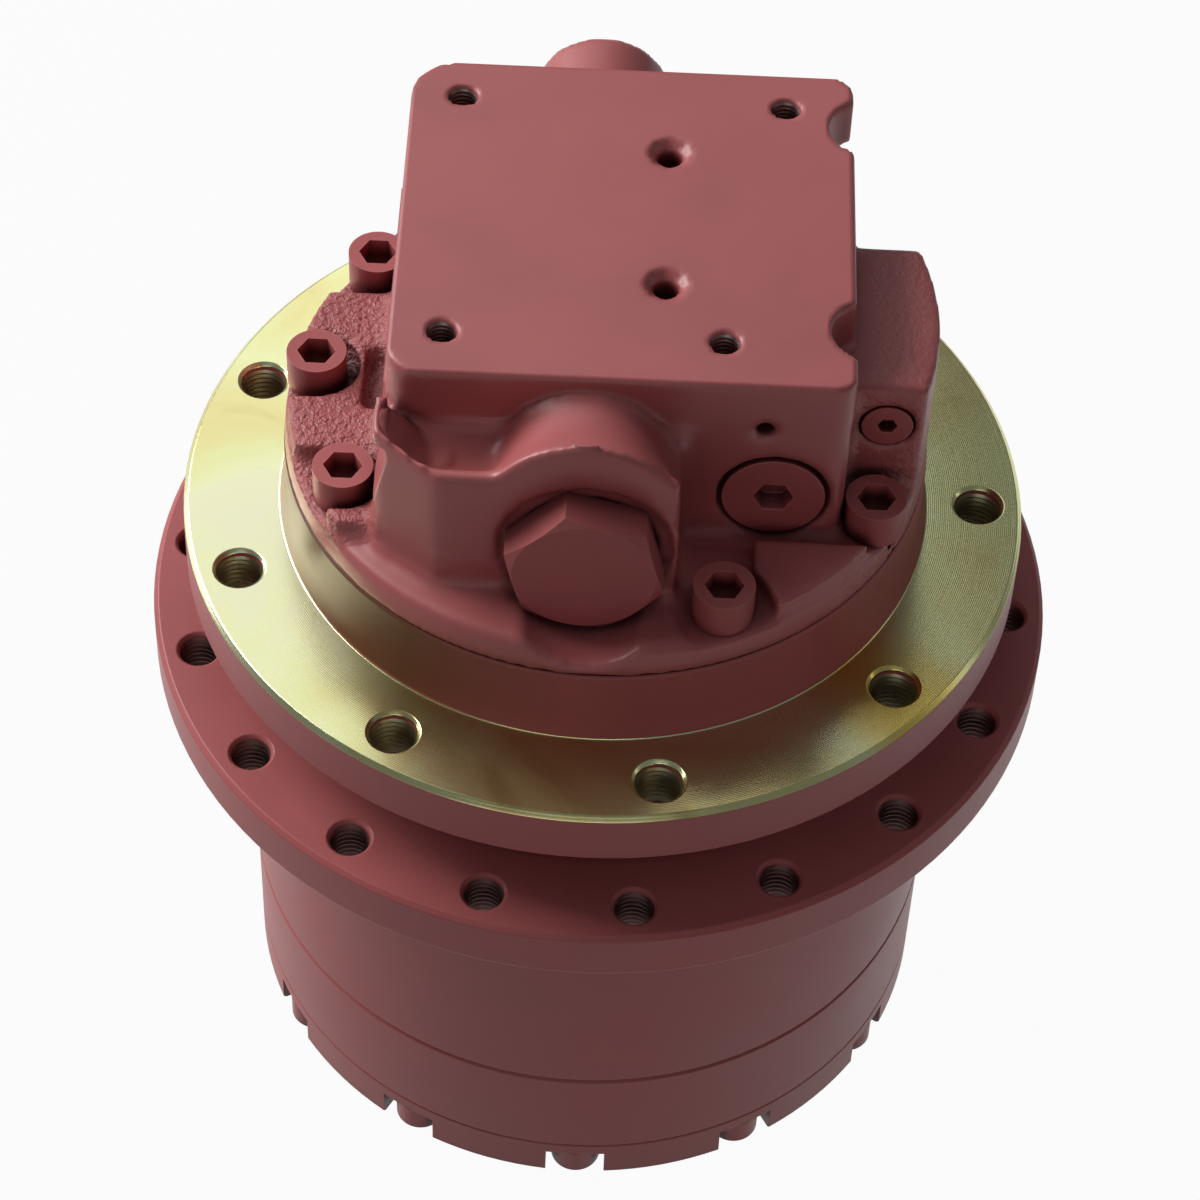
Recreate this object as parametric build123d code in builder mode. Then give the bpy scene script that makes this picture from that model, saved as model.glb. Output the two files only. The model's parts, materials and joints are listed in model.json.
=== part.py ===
from build123d import *
from math import acos, asin, cos, floor, pi, radians, sin, tan
import os

os.makedirs("parts", exist_ok=True)

# Excavator track final drive: an axial piston motor in the spindle, and a two-stage
# planetary reduction that turns the outer drum. Millimetres, +Z up along the gear axis,
# origin at the centre of the end cover's foot. Angles run from +X towards +Y.

# Fits
running = 0.05          # radial running clearance
seated = 0.03           # clearance of pieces that sit in one another
face_gap = 0.3          # between faces that turn past one another
thread_relief = 0.05    # between a screw and its tapped hole

# Outer drum
drum_r = 112.0
cover_flange_t = 16.0
ring_band_h = 37.5
hub_drum_h = 98.0
sprocket_flange_t = 18.5
sprocket_flange_r = 140.0
sprocket_pitch_r = 128.0
sprocket_holes = 18
sprocket_tap_r = 6.0
sprocket_first_angle = -83.6
sprocket_pilot_r = 113.0
sprocket_pilot_h = 20.0
flange_edge = 1.5
seam_groove = 1.0
cover_seam_groove = 0.5

# Motor case and its frame flange
flange_spacing = 22.5
frame_flange_t = 19.5
frame_flange_r = 128.5
frame_pitch_r = 115.0
frame_holes = 9
frame_tap_r = 7.0
frame_first_angle = -80.2
case_foot_r = 99.2
case_wall_r = 97.0
case_wall_h = 25.5
hole_mouth = 1.0

# Valve housing
base_h = 10.5
raised_ledge_h = 5.0
body_h = 59.5
plate_t = 17.0
plate_left, plate_right = -62.8, 70.3
plate_front, plate_rear = -47.0, 84.5
cover_screw_r = 6.0
cover_screw_head_r = 9.0
cover_screw_head_h = 12.0
cover_screw_thread = 22.0
pocket_floor = 2.0
# pitch radius and angle of each housing screw, its pocket's radius, and where that opens
housing_screw_places = [
    (89.5, 30.0, 9.6, 30.0), (87.4, 62.0, 12.0, 62.0), (88.0, 113.0, 11.0, 113.0),
    (89.0, 144.3, 12.0, 180.0), (88.0, 174.5, 13.0, 180.0), (85.0, 206.3, 11.6, 180.0),
    (85.4, 294.6, 13.6, 294.6), (89.5, 332.5, 9.6, 332.5),
]

# Gear train, shared by both stages
module = 2.25
pressure_angle = radians(20)
ring_teeth = 75
sun_teeth = 15
planet_teeth = (ring_teeth - sun_teeth) // 2
flank_relief = 0.2
stage_1_width = 18.0
stage_2_width = 30.0
stage_2_angle = 30.0
stage_1_angle = stage_2_angle + 12 * 360 / ring_teeth
washer_t = 1.2
needle_r = 2.5
pin_1_r = 9.0
pin_2_r = 13.0
carrier_t = 9.0
pin_plate_t = 4.0

# End cover
foot_recess = 4.0
cover_plate_t = 8.0
cover_spigot_h = 4.0
cover_bolts_n = 12
cover_bolt_pitch_r = 104.0
cover_bolt_r = 5.0
cover_bolt_head_r = 8.0
cover_bolt_head_h = 10.0
cover_bolt_grip = 18.0
scallop_r = 9.6
oil_plug_r = 9.0
oil_plug_pitch_r = 58.0

# Main bearings and the shaft seal between drum and case
bearing_bore_r = 75.0
bearing_outer_r = 95.0
bearing_w = 20.0
bearing_spacing = 30.0
roller_r = 4.6
roller_l = 15.0
rollers = 30
roller_tilt = 12.0
nut_t = 11.0
seal_bore_r = 101.6
spindle_shoulder_r = 84.0
seal_collar_r = 110.0

# Motor
cavity_r = 56.0
end_plate_t = 20.0
shaft_r = 15.0
shaft_seal_r = 21.0
shaft_bearing_r = 27.0
shaft_bearing_w = 10.0
block_r = 44.0
block_h = 60.0
pistons_n = 9
piston_pitch_r = 30.0
piston_r = 7.5
swash_tilt = 14.0
swash_r = 43.0
valve_plate_t = 6.0
spigot_r = 44.0
plate_bore_r = 64.0
piston_low_r = 67.0
piston_high_r = 73.0
brake_pack_t = 17.5

# Heights, from the foot up
cover_top = cover_flange_t
ring_top = cover_top + ring_band_h
hub_under = ring_top + hub_drum_h
hub_top = hub_under + sprocket_flange_t
frame_under = hub_top + flange_spacing
frame_face = frame_under + frame_flange_t
seam = frame_face + case_wall_h
ledge = seam + base_h
plate_top = ledge + body_h
plate_under = plate_top - plate_t

# Gear sizes
pitch_radius = {n: module * n / 2 for n in (sun_teeth, planet_teeth, ring_teeth)}
gear_centre_r = pitch_radius[sun_teeth] + pitch_radius[planet_teeth]
addendum, dedendum = module, 1.25 * module
ring_root_r = pitch_radius[ring_teeth] + dedendum
spigot_wall = 9.0
ring_spigot_r = ring_root_r + spigot_wall
ring_spigot_h = 34.5
tooth_thickness = pi * module / 2 - flank_relief
space_width = pi * module / 2 + flank_relief

# Heights of the gear train, from the end cover up
cover_floor = foot_recess + cover_plate_t
pin_head_t = 3.0
planet_1_low = cover_floor + 8.0
planet_1_high = planet_1_low + stage_1_width
carrier_low = planet_1_high + washer_t + 0.2
carrier_high = carrier_low + carrier_t
pin_plate_low = carrier_high + 1.6
planet_2_low = pin_plate_low + pin_plate_t + washer_t + 0.2
planet_2_high = planet_2_low + stage_2_width
spindle_low = planet_2_high + washer_t + 0.2
cavity_floor = spindle_low + end_plate_t

# Heights of the bearings, from the hub's upper face down
upper_bearing_high = hub_top - 8.0
upper_bearing_low = upper_bearing_high - bearing_w
lower_bearing_high = upper_bearing_high - bearing_spacing
lower_bearing_low = lower_bearing_high - bearing_w
nut_low = lower_bearing_low - nut_t
seal_plane = hub_top + 5.0

# Heights of the motor, from the seam down
spigot_low = seam - 28.0
block_high = spigot_low - valve_plate_t - seated
block_low = block_high - block_h
pack_low = 150.0 + (seam - 237.5)
pack_high = pack_low + brake_pack_t
piston_step = seam - 31.5
swash_z = cavity_floor + 18.0


def save(piece, name):
    """Label a finished piece and write it."""
    piece.part.label = name
    export_step(piece.part, f"parts/{name}.step")


def polar(radius, angle, height=0.0):
    """A point at a radius and angle about the gear axis."""
    return (radius * cos(radians(angle)), radius * sin(radians(angle)), height)


def outline(*points):
    """A closed face of radius and height, standing on the XZ plane."""
    with BuildSketch(Plane.XZ) as face:
        with BuildLine():
            Polyline(*points, close=True)
        make_face()
    return face.sketch


def tube(inner, outer, low, high):
    """The half section of a plain ring."""
    return outline((inner, low), (outer, low), (outer, high), (inner, high))


def involute(angle):
    return tan(angle) - angle


def gear_face(teeth, outer, root, thickness, phase):
    """A gear outline with curved flanks, one tooth centred on the phase angle."""
    pitch_r = pitch_radius[teeth]
    base_r = pitch_r * cos(pressure_angle)
    start_r = max(base_r, root)

    def half_angle(radius):
        roll = acos(min(1.0, base_r / radius))
        return thickness / (2 * pitch_r) + involute(pressure_angle) - involute(roll)

    def on_flank(radius, side, turn):
        bearing = turn + side * half_angle(max(radius, base_r))
        return (radius * cos(bearing), radius * sin(bearing))

    middle_r = (start_r + outer) / 2
    step = 2 * pi / teeth
    with BuildSketch() as face:
        with BuildLine():
            for tooth in range(teeth):
                turn = radians(phase) + tooth * step
                foot = on_flank(root, -1, turn)
                last = on_flank(root, 1, turn)
                following = on_flank(root, -1, turn + step)
                if start_r > root:
                    Line(foot, on_flank(start_r, -1, turn))
                    Line(on_flank(start_r, 1, turn), last)
                ThreePointArc(*[on_flank(r, -1, turn) for r in (start_r, middle_r, outer)])
                Line(on_flank(outer, -1, turn), on_flank(outer, 1, turn))
                ThreePointArc(*[on_flank(r, 1, turn) for r in (outer, middle_r, start_r)])
                Line(last, following)
        make_face()
    return face.sketch


def external_gear(teeth, phase):
    pitch_r = pitch_radius[teeth]
    return gear_face(teeth, pitch_r + addendum, pitch_r - dedendum, tooth_thickness, phase)


def planet_places(first_angle):
    return [(first_angle + 120 * k) for k in range(3)]


# END COVER

with BuildPart() as end_cover:
    spigot_in = ring_root_r - 5.0
    revolve(
        outline(
            (0, foot_recess), (86, foot_recess), (90, 0), (drum_r - 1, 0), (drum_r, 1),
            (drum_r, cover_top - cover_seam_groove), (drum_r - cover_seam_groove, cover_top),
            (ring_root_r + 1.4, cover_top), (ring_root_r + 1.4, cover_top + cover_spigot_h),
            (spigot_in, cover_top + cover_spigot_h), (spigot_in - 4, cover_floor), (0, cover_floor),
        ),
        axis=Axis.Z,
    )
    # scallops that let the bolt heads sit flush with the foot
    with BuildSketch():
        with PolarLocations(cover_bolt_pitch_r, cover_bolts_n):
            Circle(scallop_r)
        with PolarLocations(drum_r + 2, cover_bolts_n):
            Rectangle(2 * (drum_r + 2 - cover_bolt_pitch_r), 2 * scallop_r)
    extrude(amount=cover_bolt_head_h + 1, mode=Mode.SUBTRACT)
    with BuildSketch():
        with PolarLocations(cover_bolt_pitch_r, cover_bolts_n):
            Circle(cover_bolt_r + 0.5)
        with PolarLocations(oil_plug_pitch_r, 3, start_angle=stage_1_angle):
            Circle(oil_plug_r + thread_relief)
    extrude(amount=cover_top, mode=Mode.SUBTRACT)
save(end_cover, "end_cover")

with BuildPart() as oil_plugs:
    with BuildSketch(Plane.XY.offset(foot_recess + 0.4)):
        with PolarLocations(oil_plug_pitch_r, 3, start_angle=stage_1_angle):
            Circle(oil_plug_r)
    extrude(amount=cover_plate_t - 0.8)
    with BuildSketch(Plane.XY.offset(foot_recess + 0.4)):
        with PolarLocations(oil_plug_pitch_r, 3, start_angle=stage_1_angle):
            RegularPolygon(5.0, 6)
    extrude(amount=4.5, mode=Mode.SUBTRACT)
save(oil_plugs, "oil_plugs")

with BuildPart() as cover_bolts:
    with BuildSketch(Plane.XY.offset(1)):
        with PolarLocations(cover_bolt_pitch_r, cover_bolts_n):
            Circle(cover_bolt_head_r)
    extrude(amount=cover_bolt_head_h)
    with BuildSketch(Plane.XY.offset(1)):
        with PolarLocations(cover_bolt_pitch_r, cover_bolts_n):
            RegularPolygon(4.6, 6)
    extrude(amount=5, mode=Mode.SUBTRACT)
    with BuildSketch(Plane.XY.offset(1 + cover_bolt_head_h)):
        with PolarLocations(cover_bolt_pitch_r, cover_bolts_n):
            Circle(cover_bolt_r)
    extrude(amount=ring_top + cover_bolt_grip - cover_bolt_head_h - 1)
save(cover_bolts, "cover_bolts")

# RING GEAR

with BuildPart() as ring_gear:
    bore = ring_root_r + 1.45
    revolve(
        outline(
            (bore, cover_top), (drum_r - cover_seam_groove, cover_top),
            (drum_r, cover_top + cover_seam_groove), (drum_r, ring_top - seam_groove),
            (drum_r - seam_groove, ring_top), (ring_spigot_r, ring_top),
            (ring_spigot_r, ring_top + ring_spigot_h), (70, ring_top + ring_spigot_h),
            (70, cover_top + cover_spigot_h), (bore, cover_top + cover_spigot_h),
        ),
        axis=Axis.Z,
    )
    ring_phase = stage_2_angle + 180 / ring_teeth
    with BuildSketch(Plane.XY.offset(cover_top)):
        add(gear_face(
            ring_teeth, ring_root_r, pitch_radius[ring_teeth] - addendum, space_width, ring_phase
        ))
    extrude(amount=ring_band_h + ring_spigot_h + 1, mode=Mode.SUBTRACT)
    with BuildSketch(Plane.XY.offset(cover_top)):
        with PolarLocations(cover_bolt_pitch_r, cover_bolts_n):
            Circle(cover_bolt_r + 0.5)
    extrude(amount=ring_band_h, mode=Mode.SUBTRACT)
save(ring_gear, "ring_gear")

# SPROCKET HUB

with BuildPart() as sprocket_hub:
    hub_bore = bearing_outer_r + seated
    pilot_high = hub_under - 5
    pilot_low = pilot_high - sprocket_pilot_h
    revolve(
        outline(
            (ring_spigot_r + seated, ring_top), (drum_r - seam_groove, ring_top),
            (drum_r, ring_top + seam_groove), (drum_r, pilot_low - (sprocket_pilot_r - drum_r)),
            (sprocket_pilot_r, pilot_low), (sprocket_pilot_r, pilot_high),
            (drum_r + 5, hub_under),
            (sprocket_flange_r - flange_edge, hub_under),
            (sprocket_flange_r, hub_under + flange_edge),
            (sprocket_flange_r, hub_top - flange_edge),
            (sprocket_flange_r - flange_edge, hub_top), (seal_collar_r, hub_top),
            (seal_collar_r, seal_plane), (seal_bore_r, seal_plane),
            (seal_bore_r, upper_bearing_high + 3), (hub_bore, upper_bearing_high),
            (hub_bore, upper_bearing_low), (bearing_outer_r - 6, upper_bearing_low),
            (bearing_outer_r - 6, lower_bearing_high), (hub_bore, lower_bearing_high),
            (hub_bore, lower_bearing_low - 2), (ring_spigot_r + seated, lower_bearing_low - 4),
        ),
        axis=Axis.Z,
    )
    with BuildSketch(Plane.XY.offset(ring_top)):
        with PolarLocations(cover_bolt_pitch_r, cover_bolts_n):
            Circle(cover_bolt_r + thread_relief)
    extrude(amount=cover_bolt_grip + 3, mode=Mode.SUBTRACT)
    with Locations((0, 0, hub_top)):
        with PolarLocations(sprocket_pitch_r, sprocket_holes, start_angle=sprocket_first_angle):
            CounterSinkHole(sprocket_tap_r, sprocket_tap_r + hole_mouth, sprocket_flange_t, 90)
save(sprocket_hub, "sprocket_hub")

# MOTOR CASE

with BuildPart() as motor_case:
    thread_r = bearing_bore_r - seated
    revolve(
        outline(
            (0, spindle_low), (thread_r - 2, spindle_low), (thread_r, spindle_low + 2),
            (thread_r, upper_bearing_high), (spindle_shoulder_r, upper_bearing_high),
            (spindle_shoulder_r, frame_under - 6), (seal_bore_r, frame_under - 6),
            (seal_bore_r, seal_plane + 2), (seal_collar_r, seal_plane + 2),
            (seal_collar_r, frame_under), (frame_flange_r - flange_edge, frame_under),
            (frame_flange_r, frame_under + flange_edge), (frame_flange_r, frame_face - flange_edge),
            (frame_flange_r - flange_edge, frame_face), (case_foot_r, frame_face),
            (case_wall_r, frame_face + 6), (case_wall_r, seam - 0.6), (case_wall_r - 0.6, seam),
            (0, seam),
        ),
        axis=Axis.Z,
    )
    # stepped bore for the rotating group, the brake pack and the brake piston
    revolve(
        outline(
            (0, cavity_floor), (cavity_r, cavity_floor), (cavity_r, pack_low),
            (plate_bore_r, pack_low), (plate_bore_r, pack_high + 8),
            (piston_low_r + running, pack_high + 8), (piston_low_r + running, piston_step),
            (piston_high_r + running, piston_step), (piston_high_r + running, seam), (0, seam),
        ),
        axis=Axis.Z,
        mode=Mode.SUBTRACT,
    )
    # shaft seal and shaft bearing seats, and the O-ring groove in the upper face
    revolve(
        outline(
            (0, spindle_low), (shaft_seal_r + seated, spindle_low),
            (shaft_seal_r + seated, spindle_low + 8), (shaft_r + 3, spindle_low + 8),
            (shaft_r + 3, cavity_floor - shaft_bearing_w - 0.2),
            (shaft_bearing_r + seated, cavity_floor - shaft_bearing_w - 0.2),
            (shaft_bearing_r + seated, cavity_floor), (0, cavity_floor),
        ),
        axis=Axis.Z,
        mode=Mode.SUBTRACT,
    )
    revolve(tube(74.3, 76.7, seam - 2.2, seam), axis=Axis.Z, mode=Mode.SUBTRACT)
    with BuildSketch(Plane.XY.offset(pack_low)):
        with PolarLocations(plate_bore_r, 6):
            Circle(5)
    extrude(amount=brake_pack_t + 8, mode=Mode.SUBTRACT)
    with BuildSketch(Plane.XY.offset(spindle_low)):
        for angle in planet_places(stage_2_angle):
            with Locations(polar(gear_centre_r, angle)):
                Circle(pin_2_r + seated)
    extrude(amount=end_plate_t - 2, mode=Mode.SUBTRACT)
    with BuildSketch(Plane.XY.offset(seam)):
        for pitch_r, angle, *_ in housing_screw_places:
            with Locations(polar(pitch_r, angle)):
                Circle(cover_screw_r + thread_relief)
    extrude(amount=-cover_screw_thread - 2, mode=Mode.SUBTRACT)
    with Locations((0, 0, frame_face)):
        with PolarLocations(frame_pitch_r, frame_holes, start_angle=frame_first_angle):
            CounterSinkHole(frame_tap_r, frame_tap_r + hole_mouth, frame_flange_t, 90)
save(motor_case, "motor_case")

with BuildPart() as case_o_ring:
    revolve(tube(74.4, 76.6, seam - 2.1, seam - 0.1), axis=Axis.Z)
save(case_o_ring, "case_o_ring")

# MAIN BEARINGS, NUT AND FLOATING SEAL

roller_centre_r = (bearing_bore_r + bearing_outer_r) / 2
race_offset = (roller_r + running) / cos(radians(roller_tilt))
race_lean = tan(radians(roller_tilt)) * bearing_w / 2
upper_middle = (upper_bearing_low + upper_bearing_high) / 2
lower_middle = (lower_bearing_low + lower_bearing_high) / 2
# each bearing's height at its middle, and which way its rollers lean outwards
bearing_rows = [(upper_middle, 1), (lower_middle, -1)]

with BuildPart() as main_bearing_inners:
    for middle, lean in bearing_rows:
        low, high = middle - bearing_w / 2, middle + bearing_w / 2
        track = roller_centre_r - race_offset
        revolve(
            outline(
                (bearing_bore_r, low), (track - lean * race_lean, low),
                (track + lean * race_lean, high), (bearing_bore_r, high),
            ),
            axis=Axis.Z,
        )
save(main_bearing_inners, "main_bearing_inners")

with BuildPart() as main_bearing_outers:
    for middle, lean in bearing_rows:
        low, high = middle - bearing_w / 2, middle + bearing_w / 2
        track = roller_centre_r + race_offset
        revolve(
            outline(
                (track - lean * race_lean, low), (bearing_outer_r, low),
                (bearing_outer_r, high), (track + lean * race_lean, high),
            ),
            axis=Axis.Z,
        )
save(main_bearing_outers, "main_bearing_outers")

with BuildPart() as main_bearing_rollers:
    for middle, lean in bearing_rows:
        for k in range(rollers):
            angle = 360 * k / rollers
            place = Plane(
                origin=polar(roller_centre_r, angle, middle),
                x_dir=(-sin(radians(angle)), cos(radians(angle)), 0),
                z_dir=polar(sin(radians(lean * roller_tilt)), angle, cos(radians(roller_tilt))),
            )
            with Locations(place):
                Cylinder(roller_r, roller_l)
save(main_bearing_rollers, "main_bearing_rollers")

with BuildPart() as bearing_nut:
    revolve(tube(bearing_bore_r, bearing_bore_r + 12, nut_low, nut_low + nut_t - 0.05), axis=Axis.Z)
    with BuildSketch(Plane.XY.offset(nut_low)):
        with PolarLocations(bearing_bore_r + 12, 4):
            Rectangle(9, 8)
    extrude(amount=nut_t, mode=Mode.SUBTRACT)
save(bearing_nut, "bearing_nut")


def seal_ring_section(side):
    """The floating seal ring above (+1) or below (-1) the plane where the pair meets."""
    return outline(
        (seal_bore_r - 12, seal_plane + side * 0.05), (seal_bore_r - 3.6, seal_plane + side * 0.05),
        (seal_bore_r - 3.6, seal_plane + side * 2), (seal_bore_r - 7, seal_plane + side * 8),
        (seal_bore_r - 12, seal_plane + side * 8),
    )


def toric_section(side):
    """The rubber ring that loads a seal ring, squeezed between it and its housing."""
    return outline(
        (seal_bore_r - 3.3, seal_plane + side * 3), (seal_bore_r - 0.05, seal_plane + side * 4),
        (seal_bore_r - 0.05, seal_plane + side * 7.5), (seal_bore_r - 5.6, seal_plane + side * 8),
    )


with BuildPart() as seal_ring_case:
    revolve(seal_ring_section(1), axis=Axis.Z)
save(seal_ring_case, "seal_ring_case")

with BuildPart() as seal_ring_hub:
    revolve(seal_ring_section(-1), axis=Axis.Z)
save(seal_ring_hub, "seal_ring_hub")

with BuildPart() as seal_toric_case:
    revolve(toric_section(1), axis=Axis.Z)
save(seal_toric_case, "seal_toric_case")

with BuildPart() as seal_toric_hub:
    revolve(toric_section(-1), axis=Axis.Z)
save(seal_toric_hub, "seal_toric_hub")

# SECOND REDUCTION STAGE, ITS PINS FIXED IN THE SPINDLE

with BuildPart() as sun_gear_2:
    with BuildSketch(Plane.XY.offset(carrier_low)):
        add(external_gear(sun_teeth, stage_2_angle))
        Circle(10.5, mode=Mode.SUBTRACT)
    extrude(amount=planet_2_high - carrier_low)
save(sun_gear_2, "sun_gear_2")


def planet(name, centre_angle, low, width, bore_r):
    """A planet with a tooth space facing the axis."""
    with BuildPart() as gear:
        x, y, _ = polar(gear_centre_r, centre_angle)
        with BuildSketch(Plane((x, y, low))):
            add(external_gear(planet_teeth, centre_angle + 180 / planet_teeth))
            Circle(bore_r, mode=Mode.SUBTRACT)
        extrude(amount=width)
    save(gear, name)


planet_2_bore_r = pin_2_r + 2 * needle_r + 2 * running
for letter, angle in zip("abc", planet_places(stage_2_angle)):
    planet(f"planet_2_{letter}", angle, planet_2_low, stage_2_width, planet_2_bore_r)

with BuildPart() as planet_2_pins:
    for angle in planet_places(stage_2_angle):
        x, y, _ = polar(gear_centre_r, angle)
        with BuildSketch(Plane((x, y, pin_plate_low + pin_plate_t))):
            Circle(pin_2_r)
            Circle(4.05, mode=Mode.SUBTRACT)
        extrude(amount=spindle_low + end_plate_t - 2.2 - pin_plate_low - pin_plate_t)
save(planet_2_pins, "planet_2_pins")


def needle_rows(first_angle, low, width, pin_r):
    """Needle rollers between three planets and their pins, clear of both."""
    row_r = pin_r + needle_r + running
    needles = floor(pi / asin(needle_r / row_r))
    for angle in planet_places(first_angle):
        x, y, _ = polar(gear_centre_r, angle)
        with Locations((x, y, low + 1)):
            with PolarLocations(row_r, needles):
                Cylinder(needle_r, width - 2, align=(Align.CENTER, Align.CENTER, Align.MIN))


with BuildPart() as planet_2_needles:
    needle_rows(stage_2_angle, planet_2_low, stage_2_width, pin_2_r)
save(planet_2_needles, "planet_2_needles")


with BuildPart() as planet_2_washers:
    for place_angle in planet_places(stage_2_angle):
        px, py, _ = polar(gear_centre_r, place_angle)
        for washer_low in (pin_plate_low + pin_plate_t + 0.1, planet_2_high + 0.1):
            with BuildSketch(Plane((px, py, washer_low))):
                Circle(pin_2_r + 12)
                Circle(pin_2_r + seated, mode=Mode.SUBTRACT)
            extrude(amount=washer_t)
save(planet_2_washers, "planet_2_washers")

with BuildPart() as pin_plate:
    with BuildSketch(Plane.XY.offset(pin_plate_low)):
        Circle(gear_centre_r + pin_2_r + 3)
        Circle(24, mode=Mode.SUBTRACT)
        with PolarLocations(gear_centre_r + 16, 3, start_angle=stage_2_angle + 60):
            Circle(26, mode=Mode.SUBTRACT)
    extrude(amount=pin_plate_t)
    for place_angle in planet_places(stage_2_angle):
        px, py, _ = polar(gear_centre_r, place_angle)
        with Locations(Location((px, py, pin_plate_low), (180, 0, 0))):
            CounterSinkHole(4.2, 8.0, pin_plate_t, 90)
save(pin_plate, "pin_plate")

with BuildPart() as pin_plate_screws:
    for place_angle in planet_places(stage_2_angle):
        px, py, _ = polar(gear_centre_r, place_angle)
        with BuildSketch(Plane((px, py, pin_plate_low + 0.2))):
            Circle(7.7)
        with BuildSketch(Plane((px, py, pin_plate_low + 3.9))):
            Circle(4.0)
        loft()
        with BuildSketch(Plane((px, py, pin_plate_low + 3.9))):
            Circle(4.0)
        extrude(amount=20)
        with BuildSketch(Plane((px, py, pin_plate_low + 0.2))):
            RegularPolygon(2.9, 6)
        extrude(amount=2.5, mode=Mode.SUBTRACT)
save(pin_plate_screws, "pin_plate_screws")

# FIRST REDUCTION STAGE, ITS CARRIER TURNING WITH THE SECOND SUN

with BuildPart() as carrier_1:
    with BuildSketch(Plane.XY.offset(carrier_low)):
        Circle(gear_centre_r + pin_1_r + 6)
        sun_pitch_r = pitch_radius[sun_teeth]
        add(
            gear_face(
                sun_teeth, sun_pitch_r + addendum + 0.1, sun_pitch_r - dedendum + 0.1,
                tooth_thickness + 0.16, stage_2_angle,
            ),
            mode=Mode.SUBTRACT,
        )
        for place_angle in planet_places(stage_1_angle):
            with Locations(polar(gear_centre_r, place_angle)):
                Circle(pin_1_r + seated, mode=Mode.SUBTRACT)
        with PolarLocations(gear_centre_r + 14, 3, start_angle=stage_1_angle + 60):
            Circle(28, mode=Mode.SUBTRACT)
    extrude(amount=carrier_t)
save(carrier_1, "carrier_1")

planet_1_bore_r = pin_1_r + 2 * needle_r + 2 * running
for letter, angle in zip("abc", planet_places(stage_1_angle)):
    planet(f"planet_1_{letter}", angle, planet_1_low, stage_1_width, planet_1_bore_r)

with BuildPart() as planet_1_pins:
    pin_foot = planet_1_low - washer_t - 0.2 - pin_head_t
    for place_angle in planet_places(stage_1_angle):
        px, py, _ = polar(gear_centre_r, place_angle)
        with BuildSketch(Plane((px, py, pin_foot))):
            Circle(pin_1_r + 6)
        extrude(amount=pin_head_t)
        with BuildSketch(Plane((px, py, pin_foot))):
            Circle(pin_1_r)
        extrude(amount=carrier_high - pin_foot)
save(planet_1_pins, "planet_1_pins")

with BuildPart() as planet_1_needles:
    needle_rows(stage_1_angle, planet_1_low, stage_1_width, pin_1_r)
save(planet_1_needles, "planet_1_needles")

with BuildPart() as planet_1_washers:
    for place_angle in planet_places(stage_1_angle):
        px, py, _ = polar(gear_centre_r, place_angle)
        for washer_low in (planet_1_low - washer_t - 0.1, planet_1_high + 0.1):
            with BuildSketch(Plane((px, py, washer_low))):
                Circle(pin_1_r + 10)
                Circle(pin_1_r + seated, mode=Mode.SUBTRACT)
            extrude(amount=washer_t)
save(planet_1_washers, "planet_1_washers")

with BuildPart() as sun_gear_1:
    sun_shaft_r = 9.0
    with BuildSketch(Plane.XY.offset(planet_1_low - 1)):
        add(external_gear(sun_teeth, stage_1_angle))
    extrude(amount=stage_1_width + 2)
    with BuildSketch(Plane.XY.offset(cover_floor + face_gap)):
        Circle(7)
    extrude(amount=planet_1_low - cover_floor)
    with BuildSketch(Plane.XY.offset(planet_1_high)):
        Circle(sun_shaft_r)
    extrude(amount=cavity_floor - planet_1_high)
save(sun_gear_1, "sun_gear_1")

# MOTOR SHAFT AND ITS BEARINGS

shaft_low = spindle_low + 2.0
shaft_high = seam - 2.0
shaft_step_r = 10.0

with BuildPart() as motor_shaft:
    revolve(
        outline(
            (0, shaft_low), (shaft_r, shaft_low), (shaft_r, block_low - 2),
            (shaft_r - 2, block_low), (shaft_r - 2, block_high), (shaft_step_r, block_high + 4),
            (shaft_step_r, shaft_high), (0, shaft_high),
        ),
        axis=Axis.Z,
    )
    with BuildSketch(Plane.XY.offset(block_low + 12)):
        Circle(shaft_r + 0.5)
        with PolarLocations(shaft_r + 0.6, 16):
            Circle(1.1, mode=Mode.SUBTRACT)
    extrude(amount=24)
    with BuildSketch(Plane.XY.offset(shaft_low)):
        Circle(sun_shaft_r + running)
    extrude(amount=cavity_floor - shaft_low + 4, mode=Mode.SUBTRACT)
save(motor_shaft, "motor_shaft")

lower_bearing_z = cavity_floor - shaft_bearing_w
upper_bearing_z = spigot_low + 12
shaft_roller_r = 3.0
shaft_roller_l = 8.0
shaft_rollers = 12
upper_bearing_outer_r = shaft_step_r + (shaft_bearing_r - shaft_r)
# bore, outer radius and foot of each shaft bearing
shaft_bearings = [
    (shaft_r, shaft_bearing_r, lower_bearing_z),
    (shaft_step_r, upper_bearing_outer_r, upper_bearing_z),
]
race_gap = shaft_roller_r + running

with BuildPart() as shaft_bearing_inners:
    for bore_r, outer_r, foot in shaft_bearings:
        track = (bore_r + outer_r) / 2 - race_gap
        revolve(tube(bore_r + seated, track, foot, foot + shaft_bearing_w), axis=Axis.Z)
save(shaft_bearing_inners, "shaft_bearing_inners")

with BuildPart() as shaft_bearing_outers:
    for bore_r, outer_r, foot in shaft_bearings:
        track = (bore_r + outer_r) / 2 + race_gap
        revolve(tube(track, outer_r, foot, foot + shaft_bearing_w), axis=Axis.Z)
save(shaft_bearing_outers, "shaft_bearing_outers")

with BuildPart() as shaft_bearing_rollers:
    for bore_r, outer_r, foot in shaft_bearings:
        with Locations((0, 0, foot + shaft_bearing_w / 2)):
            with PolarLocations((bore_r + outer_r) / 2, shaft_rollers):
                Cylinder(shaft_roller_r, shaft_roller_l)
save(shaft_bearing_rollers, "shaft_bearing_rollers")

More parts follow.
